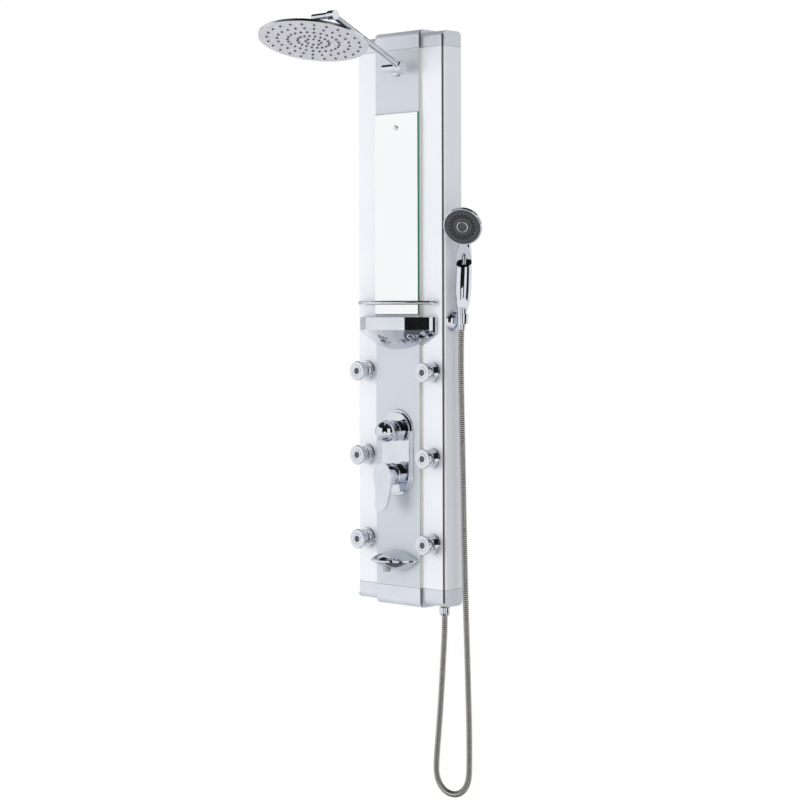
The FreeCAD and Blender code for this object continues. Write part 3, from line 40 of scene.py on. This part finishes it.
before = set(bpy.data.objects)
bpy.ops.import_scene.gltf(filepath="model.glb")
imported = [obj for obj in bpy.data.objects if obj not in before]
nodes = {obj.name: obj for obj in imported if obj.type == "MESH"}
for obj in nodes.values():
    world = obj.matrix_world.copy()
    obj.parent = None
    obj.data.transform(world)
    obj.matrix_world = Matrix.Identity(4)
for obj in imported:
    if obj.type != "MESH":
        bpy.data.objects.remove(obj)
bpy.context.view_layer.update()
FOOT = -1.160
MM = 0.001


def put(name, data):
    """Puts a new object with this mesh, curve, lamp or camera into the scene."""
    thing = bpy.data.objects.new(name, data)
    bpy.context.scene.collection.objects.link(thing)
    return thing


def mesh_from(name, shape):
    """A mesh made from a finished shape, which is then freed."""
    mesh = bpy.data.meshes.new(name)
    shape.to_mesh(mesh)
    shape.free()
    return mesh


def turned(degrees, axis):
    """A turn about one axis."""
    return Matrix.Rotation(math.radians(degrees), 4, axis)


# --- materials ----------------------------------------------------------------------------------

def linear(colour):
    """An sRGB hex colour as linear red, green, blue and alpha."""
    parts = [int(colour[i:i + 2], 16) / 255 for i in (1, 3, 5)]
    return [p / 12.92 if p <= 0.04045 else ((p + 0.055) / 1.055) ** 2.4 for p in parts] + [1.0]


def add(tree, kind, settings=None, values=None, links=None):
    """Adds a node with its settings, its sockets' values and the links into it."""
    node = tree.nodes.new(kind)
    for name, value in (settings or {}).items():
        setattr(node, name, value)
    for socket, value in (values or {}).items():
        node.inputs[socket].default_value = value
    for socket, source in (links or {}).items():
        tree.links.new(source, node.inputs[socket])
    return node


def surface(name, colour, roughness, metallic=0.0, coat=0.0, coat_roughness=0.05, ior=1.5):
    """A new material with its shader, and the position on the object in millimetres."""
    material = bpy.data.materials.new(name)
    material.use_nodes = True
    tree = material.node_tree
    shader = tree.nodes["Principled BSDF"]
    shader.inputs["Base Color"].default_value = linear(colour)
    shader.inputs["Roughness"].default_value = roughness
    shader.inputs["Metallic"].default_value = metallic
    shader.inputs["Coat Weight"].default_value = coat
    shader.inputs["Coat Roughness"].default_value = coat_roughness
    shader.inputs["IOR"].default_value = ior
    place = add(tree, "ShaderNodeTexCoord")
    scaled = add(tree, "ShaderNodeVectorMath", {"operation": "SCALE"}, {"Scale": 1000.0},
                 {0: place.outputs["Object"]})
    return material, tree, shader, scaled.outputs[0]


def vary(tree, shader, position, colours, size_mm):
    """Colour that drifts a little over the surface, in patches of the given size."""
    noise = add(tree, "ShaderNodeTexNoise", None, {"Scale": 1.0 / size_mm, "Detail": 3.0},
                {"Vector": position})
    ramp = add(tree, "ShaderNodeValToRGB", None, None, {"Fac": noise.outputs["Fac"]})
    for element, colour, spot in zip(ramp.color_ramp.elements, colours, (0.35, 0.65)):
        element.color = linear(colour)
        element.position = spot
    tree.links.new(ramp.outputs["Color"], shader.inputs["Base Color"])
    return ramp.outputs["Color"]


def wear(tree, shader, position, low, high, size_mm):
    """Roughness that goes from low to high in patches, as handling and water marks leave it."""
    noise = add(tree, "ShaderNodeTexNoise", None, {"Scale": 1.0 / size_mm, "Detail": 4.0},
                {"Vector": position})
    spread = add(tree, "ShaderNodeMapRange", None,
                 {"From Min": 0.3, "From Max": 0.7, "To Min": low, "To Max": high},
                 {"Value": noise.outputs["Fac"]})
    tree.links.new(spread.outputs["Result"], shader.inputs["Roughness"])


def grain(tree, shader, position, size_mm, depth_mm, strength=0.5, stretch=None):
    """Fine unevenness of the surface, as a bump of a real depth."""
    if stretch:
        mapping = add(tree, "ShaderNodeMapping", None, {"Scale": stretch}, {"Vector": position})
        position = mapping.outputs["Vector"]
    noise = add(tree, "ShaderNodeTexNoise", None, {"Scale": 1.0 / size_mm, "Detail": 2.0},
                {"Vector": position})
    bump = add(tree, "ShaderNodeBump", None, {"Strength": strength, "Distance": depth_mm * MM},
               {"Height": noise.outputs["Fac"]})
    tree.links.new(bump.outputs["Normal"], shader.inputs["Normal"])


# Lines on the column and the mirror, in millimetres: across from the middle, out from the wall
# (negative to the front), and in height.
BAND_SIDE = 68.0                # riser at each side of the raised band
BAND_FRONT = -68.0
CORNER_SIDE = 129.5             # riser of the stepped outer corner
CORNER_MIDDLE = 132.3           # middle of the flat beside that riser
CORNER_FRONT = -54.0            # that flat
CAP_SEAMS = (107.6, -1114.7)    # joints between the column and its caps
MIRROR_SIDE = 67.6              # cut edge of the glass


def places(tree, position):
    """The distance from the middle, the place out from the wall, and the height."""
    axes = add(tree, "ShaderNodeSeparateXYZ", None, None, {"Vector": position})
    across = add(tree, "ShaderNodeMath", {"operation": "ABSOLUTE"}, None, {0: axes.outputs["X"]})
    return across.outputs[0], axes.outputs["Y"], axes.outputs["Z"]


def within(tree, value, middle, reach):
    """1 where a value lies within reach of the middle, else 0."""
    near = add(tree, "ShaderNodeMath", {"operation": "COMPARE"}, {1: middle, 2: reach}, {0: value})
    return near.outputs[0]


def both(tree, first, second):
    """1 where two masks are both 1."""
    product = add(tree, "ShaderNodeMath", {"operation": "MULTIPLY"}, None, {0: first, 1: second})
    return product.outputs[0]


def paint(tree, base, colour, mask):
    """The base colour, with another one over it where the mask is 1."""
    mixed = add(tree, "ShaderNodeMix", {"data_type": "RGBA"}, {"B": linear(colour)},
                {"Factor": mask, "A": base})
    return mixed.outputs["Result"]


def trim_lines(tree, shader, position, base, riser, riser_front, band=None):
    """Colours the raised band's front grey as painted shade, its two risers, and the stepped outer corners
    with painted shade on the riser and a painted highlight on the flat.

    Where there is no band colour, the piece is a cap and gets the dark seam along its open edge.
    """
    across, depth, height = places(tree, position)
    # The grey on the raised band's front is painted shade.
    if band:
        base = paint(tree, base, band, both(tree, within(tree, across, 0.0, BAND_SIDE + 0.05),
                                            within(tree, depth, BAND_FRONT, 0.4)))
    else:
        for seam in CAP_SEAMS:
            base = paint(tree, base, "#85807c", both(tree, within(tree, height, seam, 0.8),
                                                     within(tree, depth, -50.0, 60.0)))
    # The dark grey on each corner riser is painted shade; the near-white on the flat beside it is a painted
    # highlight.
    for side, side_reach, front, front_reach, colour in (
            (BAND_SIDE, 0.3, -64.0, 3.9, riser),
            (BAND_SIDE, 0.3, -66.6, 1.3, riser_front),
            (CORNER_SIDE, 0.3, -57.0, 2.9, "#4c4d50"),
            (CORNER_MIDDLE, 2.6, CORNER_FRONT, 0.2, "#f5f5f3")):
        base = paint(tree, base, colour, both(tree, within(tree, across, side, side_reach),
                                              within(tree, depth, front, front_reach)))
    tree.links.new(base, shader.inputs["Base Color"])


def lacquered_aluminium():
    """Folded aluminium sprayed with satin white lacquer, with the raised band's front greyed by painted
    shade, its bright trims, and painted shade and a painted highlight at the stepped corners.
    """
    material, tree, shader, position = surface("lacquered_aluminium", "#eff0f5", 0.32, coat=0.35,
                                               coat_roughness=0.12)
    drift = vary(tree, shader, position, ("#edeff4", "#f2f3f7"), 260)
    trim_lines(tree, shader, position, drift, "#e6e7e0", "#b5b49c", "#ced3da")
    grain(tree, shader, position, 2.2, 0.02, 0.25)
    return material


def moulded_abs():
    """Silver-white ABS end caps: injection moulded, a little glossier than the lacquer."""
    material, tree, shader, position = surface("moulded_abs", "#d5d9e1", 0.22, metallic=0.25, ior=1.53)
    drift = vary(tree, shader, position, ("#d3d7df", "#dbdee5"), 90)
    trim_lines(tree, shader, position, drift, "#85868a", "#3a3b3f")
    wear(tree, shader, position, 0.18, 0.28, 40)
    grain(tree, shader, position, 0.9, 0.01, 0.2)
    return material


def chromium_plate(name="chromium_plate", colour="#d6dae2", low=0.03, high=0.07):
    """Bright chromium over polished brass: a near mirror with faint water marks."""
    material, tree, shader, position = surface(name, colour, low, metallic=1.0)
    vary(tree, shader, position, (colour, "#dce0e6"), 35)
    wear(tree, shader, position, low, high, 18)
    return material


def silvered_glass():
    """Float glass silvered on its back: a clear mirror with the green of its cut edges."""
    material, tree, shader, position = surface("silvered_glass", "#f5f7f8", 0.02, metallic=1.0)
    drift = vary(tree, shader, position, ("#f4f6f8", "#f7f9fa"), 200)
    across, _, _ = places(tree, position)
    edged = paint(tree, drift, "#3f8f74", within(tree, across, MIRROR_SIDE, 0.7))
    tree.links.new(edged, shader.inputs["Base Color"])
    wear(tree, shader, position, 0.012, 0.03, 60)
    return material


def matte_plastic(name, colour, other, roughness=0.5, size_mm=0.8, shine=0.5):
    """Moulded ABS or silicone from a spark-eroded mould: dull, with a fine tooth.

    The tooth is drawn coarser than the real one, so that it shows.
    """
    material, tree, shader, position = surface(name, colour, roughness, ior=1.5)
    shader.inputs["Specular IOR Level"].default_value = shine
    vary(tree, shader, position, (colour, other), 30)
    wear(tree, shader, position, roughness - 0.06, roughness + 0.08, 15)
    grain(tree, shader, position, size_mm, 0.03, 0.35)
    return material


def zinc_plated_steel():
    """Bright zinc on rolled steel: grey, with a faint lengthwise grain."""
    material, tree, shader, position = surface("zinc_plated_steel", "#b4b8bd", 0.34, metallic=1.0)
    vary(tree, shader, position, ("#aeb2b8", "#bec1c5"), 12)
    wear(tree, shader, position, 0.28, 0.42, 8)
    grain(tree, shader, position, 1.0, 0.02, 0.3, stretch=(0.05, 1.0, 1.0))
    return material


def cast_brass():
    """Valve brass, cast and part machined: warm, dull and slightly grainy."""
    material, tree, shader, position = surface("cast_brass", "#b99a5b", 0.38, metallic=1.0)
    vary(tree, shader, position, ("#ac8d50", "#c2a466"), 9)
    wear(tree, shader, position, 0.3, 0.48, 7)
    grain(tree, shader, position, 0.8, 0.04, 0.4)
    return material


def supply_pipe():
    """Flexible EPDM pipe behind the panel: soft grey with a satin skin."""
    return matte_plastic("epdm_pipe", "#a9abad", "#b4b6b8", 0.55, 1.2)


def interlocked_steel():
    """Chromed steel strip wound and locked into a hose: the bright ribs; the dark in the joints between them
    is painted shade in another material.
    """
    material, tree, shader, position = surface("interlocked_steel", "#c0bdb9", 0.13, metallic=1.0)
    vary(tree, shader, position, ("#b4b1ac", "#cbc8c4"), 6)
    wear(tree, shader, position, 0.1, 0.2, 5)
    return material


lacquer = lacquered_aluminium()
cap_abs = moulded_abs()
chrome = chromium_plate()
satin_chrome = chromium_plate("chromium_on_abs", "#c9cad3", 0.16, 0.24)
mirror = silvered_glass()
zinc = zinc_plated_steel()
brass = cast_brass()
pipe = supply_pipe()
hose_steel = interlocked_steel()
# Near-black on the floors of the hose's grooves: painted shade.
painted_hose_groove_shade = matte_plastic("painted_hose_groove_shade", "#211d1a", "#2e2925", 0.5)
head_grey = matte_plastic("head_face_abs", "#d3d1d9", "#dad8df", 0.34)
dark_rubber = matte_plastic("nozzle_silicone", "#55565c", "#5f6066", 0.5)
dark_abs = matte_plastic("charcoal_abs", "#444448", "#4b4b4f", 0.42)
nozzle_black = matte_plastic("black_silicone", "#0b0b0d", "#101012", 0.7, shine=0.15)
seal_rubber = matte_plastic("nitrile_seal", "#1f1f21", "#27272a", 0.6)
aerator_abs = matte_plastic("aerator_abs", "#9c9ea3", "#a9abaf", 0.4)

FINISHES = {
    lacquer: ["column_extrusion"],
    cap_abs: ["upper_end_cap", "lower_end_cap"],
    zinc: ["end_cap_screws", "hanging_rail_screws", "upper_hanging_rail", "lower_hanging_rail",
           "upper_wall_bracket", "lower_wall_bracket"],
    mirror: ["mirror_glass"],
    chrome: ["mirror_screw", "shelf_bowl", "control_escutcheon", "mixer_sleeve",
             "mixer_collar", "mixer_lever", "diverter_sleeve", "diverter_knob", "jet_sockets",
             "spout_shell", "arm_flange", "arm_union", "swivel_arm", "head_elbow", "handset_holder",
             "hose_upper_nut", "handset_shell", "hose_lower_nut"]
            + [f"jet_{part}_{number}" for part in ("ball", "head") for number in range(1, 7)],
    satin_chrome: ["rain_head_shell", "shelf_guard_rail"],
    brass: ["mixer_cartridge", "mixer_valve_body", "diverter_valve_body", "back_nuts", "hose_outlet",
            "supply_fittings", "tee_plugs"],
    pipe: ["jet_supply_tubes", "rain_head_supply_tube", "outlet_supply_tubes"],
    hose_steel: ["shower_hose"],
    head_grey: ["rain_head_face"],
    dark_abs: ["handset_face", "handset_spray_ring"],
    seal_rubber: ["head_ball_cup"],
    aerator_abs: ["spout_outlet"],
}
for material, names in FINISHES.items():
    for name in names:
        for slot in nodes[name].material_slots:
            slot.material = material


# --- camera, floor and light ----------------------------------------------------------------------

CAMERA_PLACE = (3.25304, -3.54805, -0.47133)
CAMERA_BEARING = 43.0           # degrees to the column's right
CAMERA_ROLL = -0.16             # degrees
FLOOR = FOOT - 1.05
CLOTH_REACH = 6.5               # from the column to the upright cloths


def photo_camera():
    """Level camera to the column's front right, with the frame shifted down onto the object."""
    data = bpy.data.cameras.new("camera")
    data.sensor_width = 36.0
    data.lens = 93.94
    data.shift_y = -0.1204
    data.clip_end = 100
    camera = put("camera", data)
    camera.matrix_world = (Matrix.Translation(CAMERA_PLACE) @ turned(CAMERA_BEARING, "Z")
                           @ turned(90.0, "X") @ turned(CAMERA_ROLL, "Z"))
    bpy.context.scene.camera = camera


def seen_directly(tree):
    """1 for camera, glossy and transmission rays, which see the plain white background."""
    path = add(tree, "ShaderNodeLightPath")
    straight = add(tree, "ShaderNodeMath", {"operation": "MAXIMUM"}, None,
                   {0: path.outputs["Is Camera Ray"], 1: path.outputs["Is Glossy Ray"]})
    return add(tree, "ShaderNodeMath", {"operation": "MAXIMUM"}, None,
               {0: straight.outputs[0], 1: path.outputs["Is Transmission Ray"]}).outputs[0]


def studio():
    """White surroundings, and a softer level of them as light."""
    world = bpy.data.worlds.new("studio")
    bpy.context.scene.world = world
    world.use_nodes = True
    tree = world.node_tree
    tree.nodes.clear()
    plain = add(tree, "ShaderNodeBackground", None, {"Color": (1.0, 1.0, 1.0, 1.0), "Strength": 1.0})
    soft = add(tree, "ShaderNodeBackground", None, {"Color": (0.97, 0.985, 1.0, 1.0), "Strength": 0.62})
    mixed = add(tree, "ShaderNodeMixShader", None, None,
                {"Fac": seen_directly(tree), 1: soft.outputs[0], 2: plain.outputs[0]})
    add(tree, "ShaderNodeOutputWorld", None, None, {"Surface": mixed.outputs[0]})


def stage_piece(name, shape, colour, glow):
    """A staged mesh in one plain colour; glow is how much of it shows as pure white."""
    mesh = mesh_from(name, shape)
    piece = put(name, mesh)
    material = bpy.data.materials.new(name)
    material.use_nodes = True
    tree = material.node_tree
    shader = tree.nodes["Principled BSDF"]
    shader.inputs["Base Color"].default_value = linear(colour)
    shader.inputs["Roughness"].default_value = 0.9
    if glow:
        white = add(tree, "ShaderNodeEmission", None, {"Color": (1.0, 1.0, 1.0, 1.0), "Strength": 1.0})
        share = add(tree, "ShaderNodeMath", {"operation": "MULTIPLY"}, {1: glow}, {0: seen_directly(tree)})
        mixed = add(tree, "ShaderNodeMixShader", None, None,
                    {"Fac": share.outputs[0], 1: shader.outputs[0], 2: white.outputs[0]})
        tree.links.new(mixed.outputs[0], tree.nodes["Material Output"].inputs["Surface"])
    mesh.materials.append(material)
    return piece


def pale_floor():
    """A wide white floor below the hose's loop."""
    shape = bmesh.new()
    bmesh.ops.create_grid(shape, x_segments=1, y_segments=1, size=30.0)
    bmesh.ops.translate(shape, verts=shape.verts, vec=(0, 0, FLOOR))
    stage_piece("white_floor", shape, "#fbfbfb", 0.99)


def cloth(name, shape, colour, glow):
    """A staged cloth that only chrome sees: it casts no light, no shadow and isn't in the picture."""
    piece = stage_piece(name, shape, colour, glow)
    piece.visible_camera = False
    piece.visible_diffuse = False
    piece.visible_shadow = False


def flag(name, first, last, low, high, colour, glow=0.0):
    """An upright curved cloth round the set, from one bearing to another."""
    shape = bmesh.new()
    start = turned(first, "Z") @ Vector((0, -CLOTH_REACH, 0))
    ends = [shape.verts.new(start + Vector((0, 0, height))) for height in (low, high)]
    edge = shape.edges.new(ends)
    bmesh.ops.spin(shape, geom=ends + [edge], cent=(0, 0, 0), axis=(0, 0, 1),
                   angle=math.radians(last - first), steps=24, use_duplicate=False)
    cloth(name, shape, colour, glow)


def cloth_disc(name, level, radius, colour, glow=0.0):
    """A flat round cloth over or under the set."""
    shape = bmesh.new()
    bmesh.ops.create_circle(shape, cap_ends=True, segments=48, radius=radius)
    bmesh.ops.translate(shape, verts=shape.verts, vec=(0, 0, level))
    cloth(name, shape, colour, glow)


def softbox(name, place, target, side, power):
    """A square lamp that faces its target and that chrome doesn't see."""
    data = bpy.data.lights.new(name, "AREA")
    data.shape = "RECTANGLE"
    data.size = side
    data.size_y = side
    data.energy = power
    lamp = put(name, data)
    lamp.location = place
    lamp.visible_glossy = False
    lamp.rotation_euler = (Vector(target) - Vector(place)).to_track_quat("-Z", "Y").to_euler()


photo_camera()
studio()
pale_floor()

# The upright cloths and the ceiling draw the dark lines and the cool grey in the chrome.
flag("camera_flag", 1, 58, -0.85, 14.0, "#0b0b0c")
flag("left_stand", 6, 19, -5.0, -0.85, "#0b0b0c")
flag("right_stand", 45, 59, -5.0, -0.85, "#0b0b0c")
flag("side_flag", 88, 126, -5.0, 5.0, "#1c1b1a")
flag("left_sheet", -165, -88, -5.0, 5.0, "#b9bccb", glow=0.42)
cloth_disc("dark_ceiling", 4.5, 9.0, "#1c1c1e")

# Round sheets just over the floor, smaller and greyer towards the middle, shade the chrome from below.
for step, (radius, glow) in enumerate(((3.4, 0.8), (2.7, 0.62), (2.1, 0.44), (1.6, 0.26), (1.1, 0.08))):
    cloth_disc(f"grey_sheet_{step}", FLOOR + 0.005 + 0.003 * step, radius, "#d3d5db", glow)
cloth_disc("grey_cloth", FLOOR + 0.02, 0.7, "#6f7075")

softbox("key", (-2.0, -4.7, -0.45), (0, 0, -0.55), 2.6, 99)
softbox("fill", (4.2, -1.0, 1.8), (0, 0, -0.1), 1.8, 20)


# --- hose ---------------------------------------------------------------------------------------------

HOSE_DEPTH = -30
HOSE_ROUTE = [       # across and height in millimetres
    (108, -1176), (108, -1202), (105.5, -1245), (101, -1305), (95.5, -1373), (89, -1440), (82.5, -1497),
    (80.5, -1547), (110, -1576.5), (150, -1576), (179, -1547), (181, -1490), (180.5, -1420), (178, -1335),
    (175, -1245), (171.5, -1155), (168.8, -1065), (166.6, -970), (164.6, -870), (162.4, -770), (160.2, -680),
    (158.9, -610), (159.96, -543.95), (160.69, -529.97)]
HOSE_RADIUS = 7 * MM
JOINT_RADIUS = HOSE_RADIUS * 0.85
RIB_PITCH = 4.4 * MM            # a little coarser than the real strip's, so that the ribs show
RIB_OUTLINE = (                 # share of the pitch, radius, and 1 for the groove floor's painted shade
    (0.1, HOSE_RADIUS, 0), (0.52, HOSE_RADIUS, 0), (0.1, JOINT_RADIUS, 0), (0.28, JOINT_RADIUS, 1))


def hose_spline():
    """The route's points as the control points of one smooth open curve."""
    data = bpy.data.curves.new("hose_route", "CURVE")
    data.dimensions = "3D"
    data.resolution_u = 16
    spline = data.splines.new("NURBS")
    spline.points.add(len(HOSE_ROUTE) - 1)
    for point, (across, height) in zip(spline.points, HOSE_ROUTE):
        point.co = (across * MM, HOSE_DEPTH * MM, height * MM, 1.0)
    spline.order_u = 3
    spline.use_endpoint_u = True
    curve = put("hose_route", data)
    bpy.context.view_layer.update()
    line = bpy.data.meshes.new_from_object(curve)
    points = [vertex.co.copy() for vertex in line.vertices]
    bpy.data.meshes.remove(line)
    return curve, points


def straight_ribs(length):
    """A straight tube along X, drawn out rib by rib from one ring."""
    shape = bmesh.new()
    ring = bmesh.ops.create_circle(shape, cap_ends=False, segments=14, radius=JOINT_RADIUS)["verts"]
    bmesh.ops.rotate(shape, verts=ring, matrix=Matrix.Rotation(math.radians(90), 3, "Y"))
    edges = shape.edges[:]
    count = round(length / RIB_PITCH)
    pitch = length / count
    for _ in range(count):
        # The groove floor's faces get the second material, which is painted shade.
        for share, radius, painted_shade in RIB_OUTLINE:
            grown = bmesh.ops.extrude_edge_only(shape, edges=edges)["geom"]
            for item in grown:
                if isinstance(item, bmesh.types.BMFace):
                    item.material_index = painted_shade
            ring = [item for item in grown if isinstance(item, bmesh.types.BMVert)]
            edges = [item for item in grown if isinstance(item, bmesh.types.BMEdge)
                     and all(vert in ring for vert in item.verts)]
            here = ring[0].co.yz.length
            bmesh.ops.scale(shape, verts=ring, vec=(1, radius / here, radius / here))
            bmesh.ops.translate(shape, verts=ring, vec=(share * pitch, 0, 0))
    bmesh.ops.recalc_face_normals(shape, faces=shape.faces)
    return shape


def ribbed_hose():
    """The straight ribbed tube, bent along the route."""
    curve, points = hose_spline()
    length = sum((b - a).length for a, b in zip(points, points[1:]))
    straight = put("hose_straight", mesh_from("hose_straight", straight_ribs(length)))
    bend = straight.modifiers.new("along", "CURVE")
    bend.object = curve
    bpy.context.view_layer.update()
    bent = bpy.data.meshes.new_from_object(straight.evaluated_get(bpy.context.evaluated_depsgraph_get()))
    bent.name = "ribbed_hose"
    hose = put("ribbed_hose", bent)
    for spare in (straight, curve):
        bpy.data.objects.remove(spare)
    bent.materials.clear()
    bent.materials.append(hose_steel)
    # The second material is the grooves' painted shade.
    bent.materials.append(painted_hose_groove_shade)
    bent.polygons.foreach_set("use_smooth", [True] * len(bent.polygons))
    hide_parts("shower_hose")
    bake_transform(hose)


ribbed_hose()


# --- small dressed pieces -------------------------------------------------------------------------

def finish_piece(name, shape, material, body, smooth=False):
    """Links a finished piece that moves with a body."""
    bmesh.ops.recalc_face_normals(shape, faces=shape.faces)
    mesh = mesh_from(name, shape)
    mesh.materials.append(material)
    if smooth:
        mesh.polygons.foreach_set("use_smooth", [True] * len(mesh.polygons))
    piece = put(name, mesh)
    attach(piece, body)


def peg(shape, place, foot, top, height, segments=12):
    """A short tapered peg, in millimetres, that stands on its place along the local Z axis."""
    bmesh.ops.create_cone(shape, cap_ends=True, segments=segments, radius1=foot * MM, radius2=top * MM,
                          depth=height * MM, matrix=place @ Matrix.Translation((0, 0, height * MM / 2)))


def ring_of(count, reach, turn=0.0):
    """Places on a circle with a radius in millimetres, each turned outwards."""
    for index in range(count):
        yield (Matrix.Rotation(2 * math.pi * (index + turn) / count, 4, "Z")
               @ Matrix.Translation((reach * MM, 0, 0)))


def lathe(place, outline, steps=48):
    """A new shape: an outline of (radius, height) in millimetres, turned round the local Z axis."""
    shape = bmesh.new()
    verts = [shape.verts.new((radius * MM, 0, height * MM)) for radius, height in outline]
    edges = [shape.edges.new(pair) for pair in zip(verts, verts[1:])]
    bmesh.ops.spin(shape, geom=verts + edges, cent=(0, 0, 0), axis=(0, 0, 1), angle=2 * math.pi,
                   steps=steps, use_merge=True, use_duplicate=False)
    bmesh.ops.transform(shape, matrix=place, verts=shape.verts)
    return shape


HEAD_RINGS = ((103, 24), (80, 24), (57, 24), (35, 18), (17, 8))     # radius in mm, and nozzles
HEAD_BALL = Vector((-0.007083, -0.322825, 0.137206))
HEAD_PLACE = (Matrix.Translation(HEAD_BALL) @ turned(-13.8, "X") @ turned(-5, "Y")
              @ Matrix.Translation((0, 0, -0.035)) @ turned(180, "X"))      # on the face, looking down


def rain_nozzles():
    """Soft silicone nozzles over the head's moulded studs."""
    shape = bmesh.new()
    for reach, count in HEAD_RINGS:
        for spot in ring_of(count, reach):
            peg(shape, HEAD_PLACE @ spot, 3.0, 2.4, 2.4)
    finish_piece("rain_nozzles", shape, dark_rubber, "rain_head")


# The hand shower stands in its seat, leans, is turned to the front, and its face tilts down.
HAND_SEAT = (0.162, -0.030, FOOT + 0.655)
HAND_FACE = (Matrix.Translation(HAND_SEAT) @ turned(3, "Y") @ turned(29, "Z")
             @ Matrix.Translation((0, -0.030, 0.205)) @ turned(113, "X")
             @ Matrix.Translation((0, 0, -0.0006)))
NOZZLE_RINGS = ((27.5, 0.0, 1.9), (23.5, 0.5, 1.5))     # radius, turn in spacings, foot's radius
MIDDLE_RING = ((10.4, 0), (10.6, 1.7), (11.7, 2.1), (12.8, 1.7), (13.0, 0))


def handset_details():
    """Two staggered rings of black nozzles and the bright ring round the middle jet."""
    shape = bmesh.new()
    for reach, turn, foot in NOZZLE_RINGS:
        for spot in ring_of(20, reach, turn):
            peg(shape, HAND_FACE @ spot, foot, foot * 0.88, 0.9, 10)
    finish_piece("handset_nozzles", shape, nozzle_black, "handset")
    finish_piece("handset_middle_ring", lathe(HAND_FACE, MIDDLE_RING), satin_chrome, "handset",
                 smooth=True)


MOUTH_DEPTH = 3 * MM            # from a jet's front to the face that its rose sits on
ROSE = ((0.2, 1.9), (4.6, 1.9), (5.6, 1.4), (6.2, 0.2), (0.2, 0.2))
ROSE_STUDS = ((3.9, 10), (2.0, 5))      # radius in mm, and studs
BEAD = ((11.2, 2.9), (11.7, 3.5), (12.4, 3.5), (12.9, 2.9))


def jet_details():
    """A grey rose with small raised nozzles in each jet's mouth, and a raised bead round it."""
    for number in range(1, 7):
        low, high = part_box(f"jet_head_{number}")
        middle = (low + high) / 2
        face = Matrix.Translation((middle.x, low.y + MOUTH_DEPTH, middle.z)) @ turned(90, "X")
        shape = lathe(face, ROSE, 32)
        for reach, count in ROSE_STUDS:
            for spot in ring_of(count, reach):
                peg(shape, face @ Matrix.Translation((0, 0, 1.8 * MM)) @ spot, 0.5, 0.4, 0.5, 8)
        finish_piece(f"jet_rose_{number}", shape, dark_rubber, f"jet_head_{number}")
        finish_piece(f"jet_bead_{number}", lathe(face, BEAD), chrome, f"jet_head_{number}",
                     smooth=True)


HOLDER_WALL = Vector((0.135, -0.030, FOOT + 0.648))     # holder's middle on the column's right side
DOME = ((23.2, 0.2), (23.2, 3), (22.2, 6.5), (19.6, 10), (15.6, 12.8), (10.5, 14.6), (7.9, 15))


def holder_dome():
    """The domed cover of the holder's rosette on the column's right side."""
    finish_piece("holder_dome", lathe(Matrix.Translation(HOLDER_WALL) @ turned(90, "Y"), DOME), chrome,
                 "column", smooth=True)


rain_nozzles()
handset_details()
holder_dome()
jet_details()

bpy.context.scene.view_settings.view_transform = "Standard"
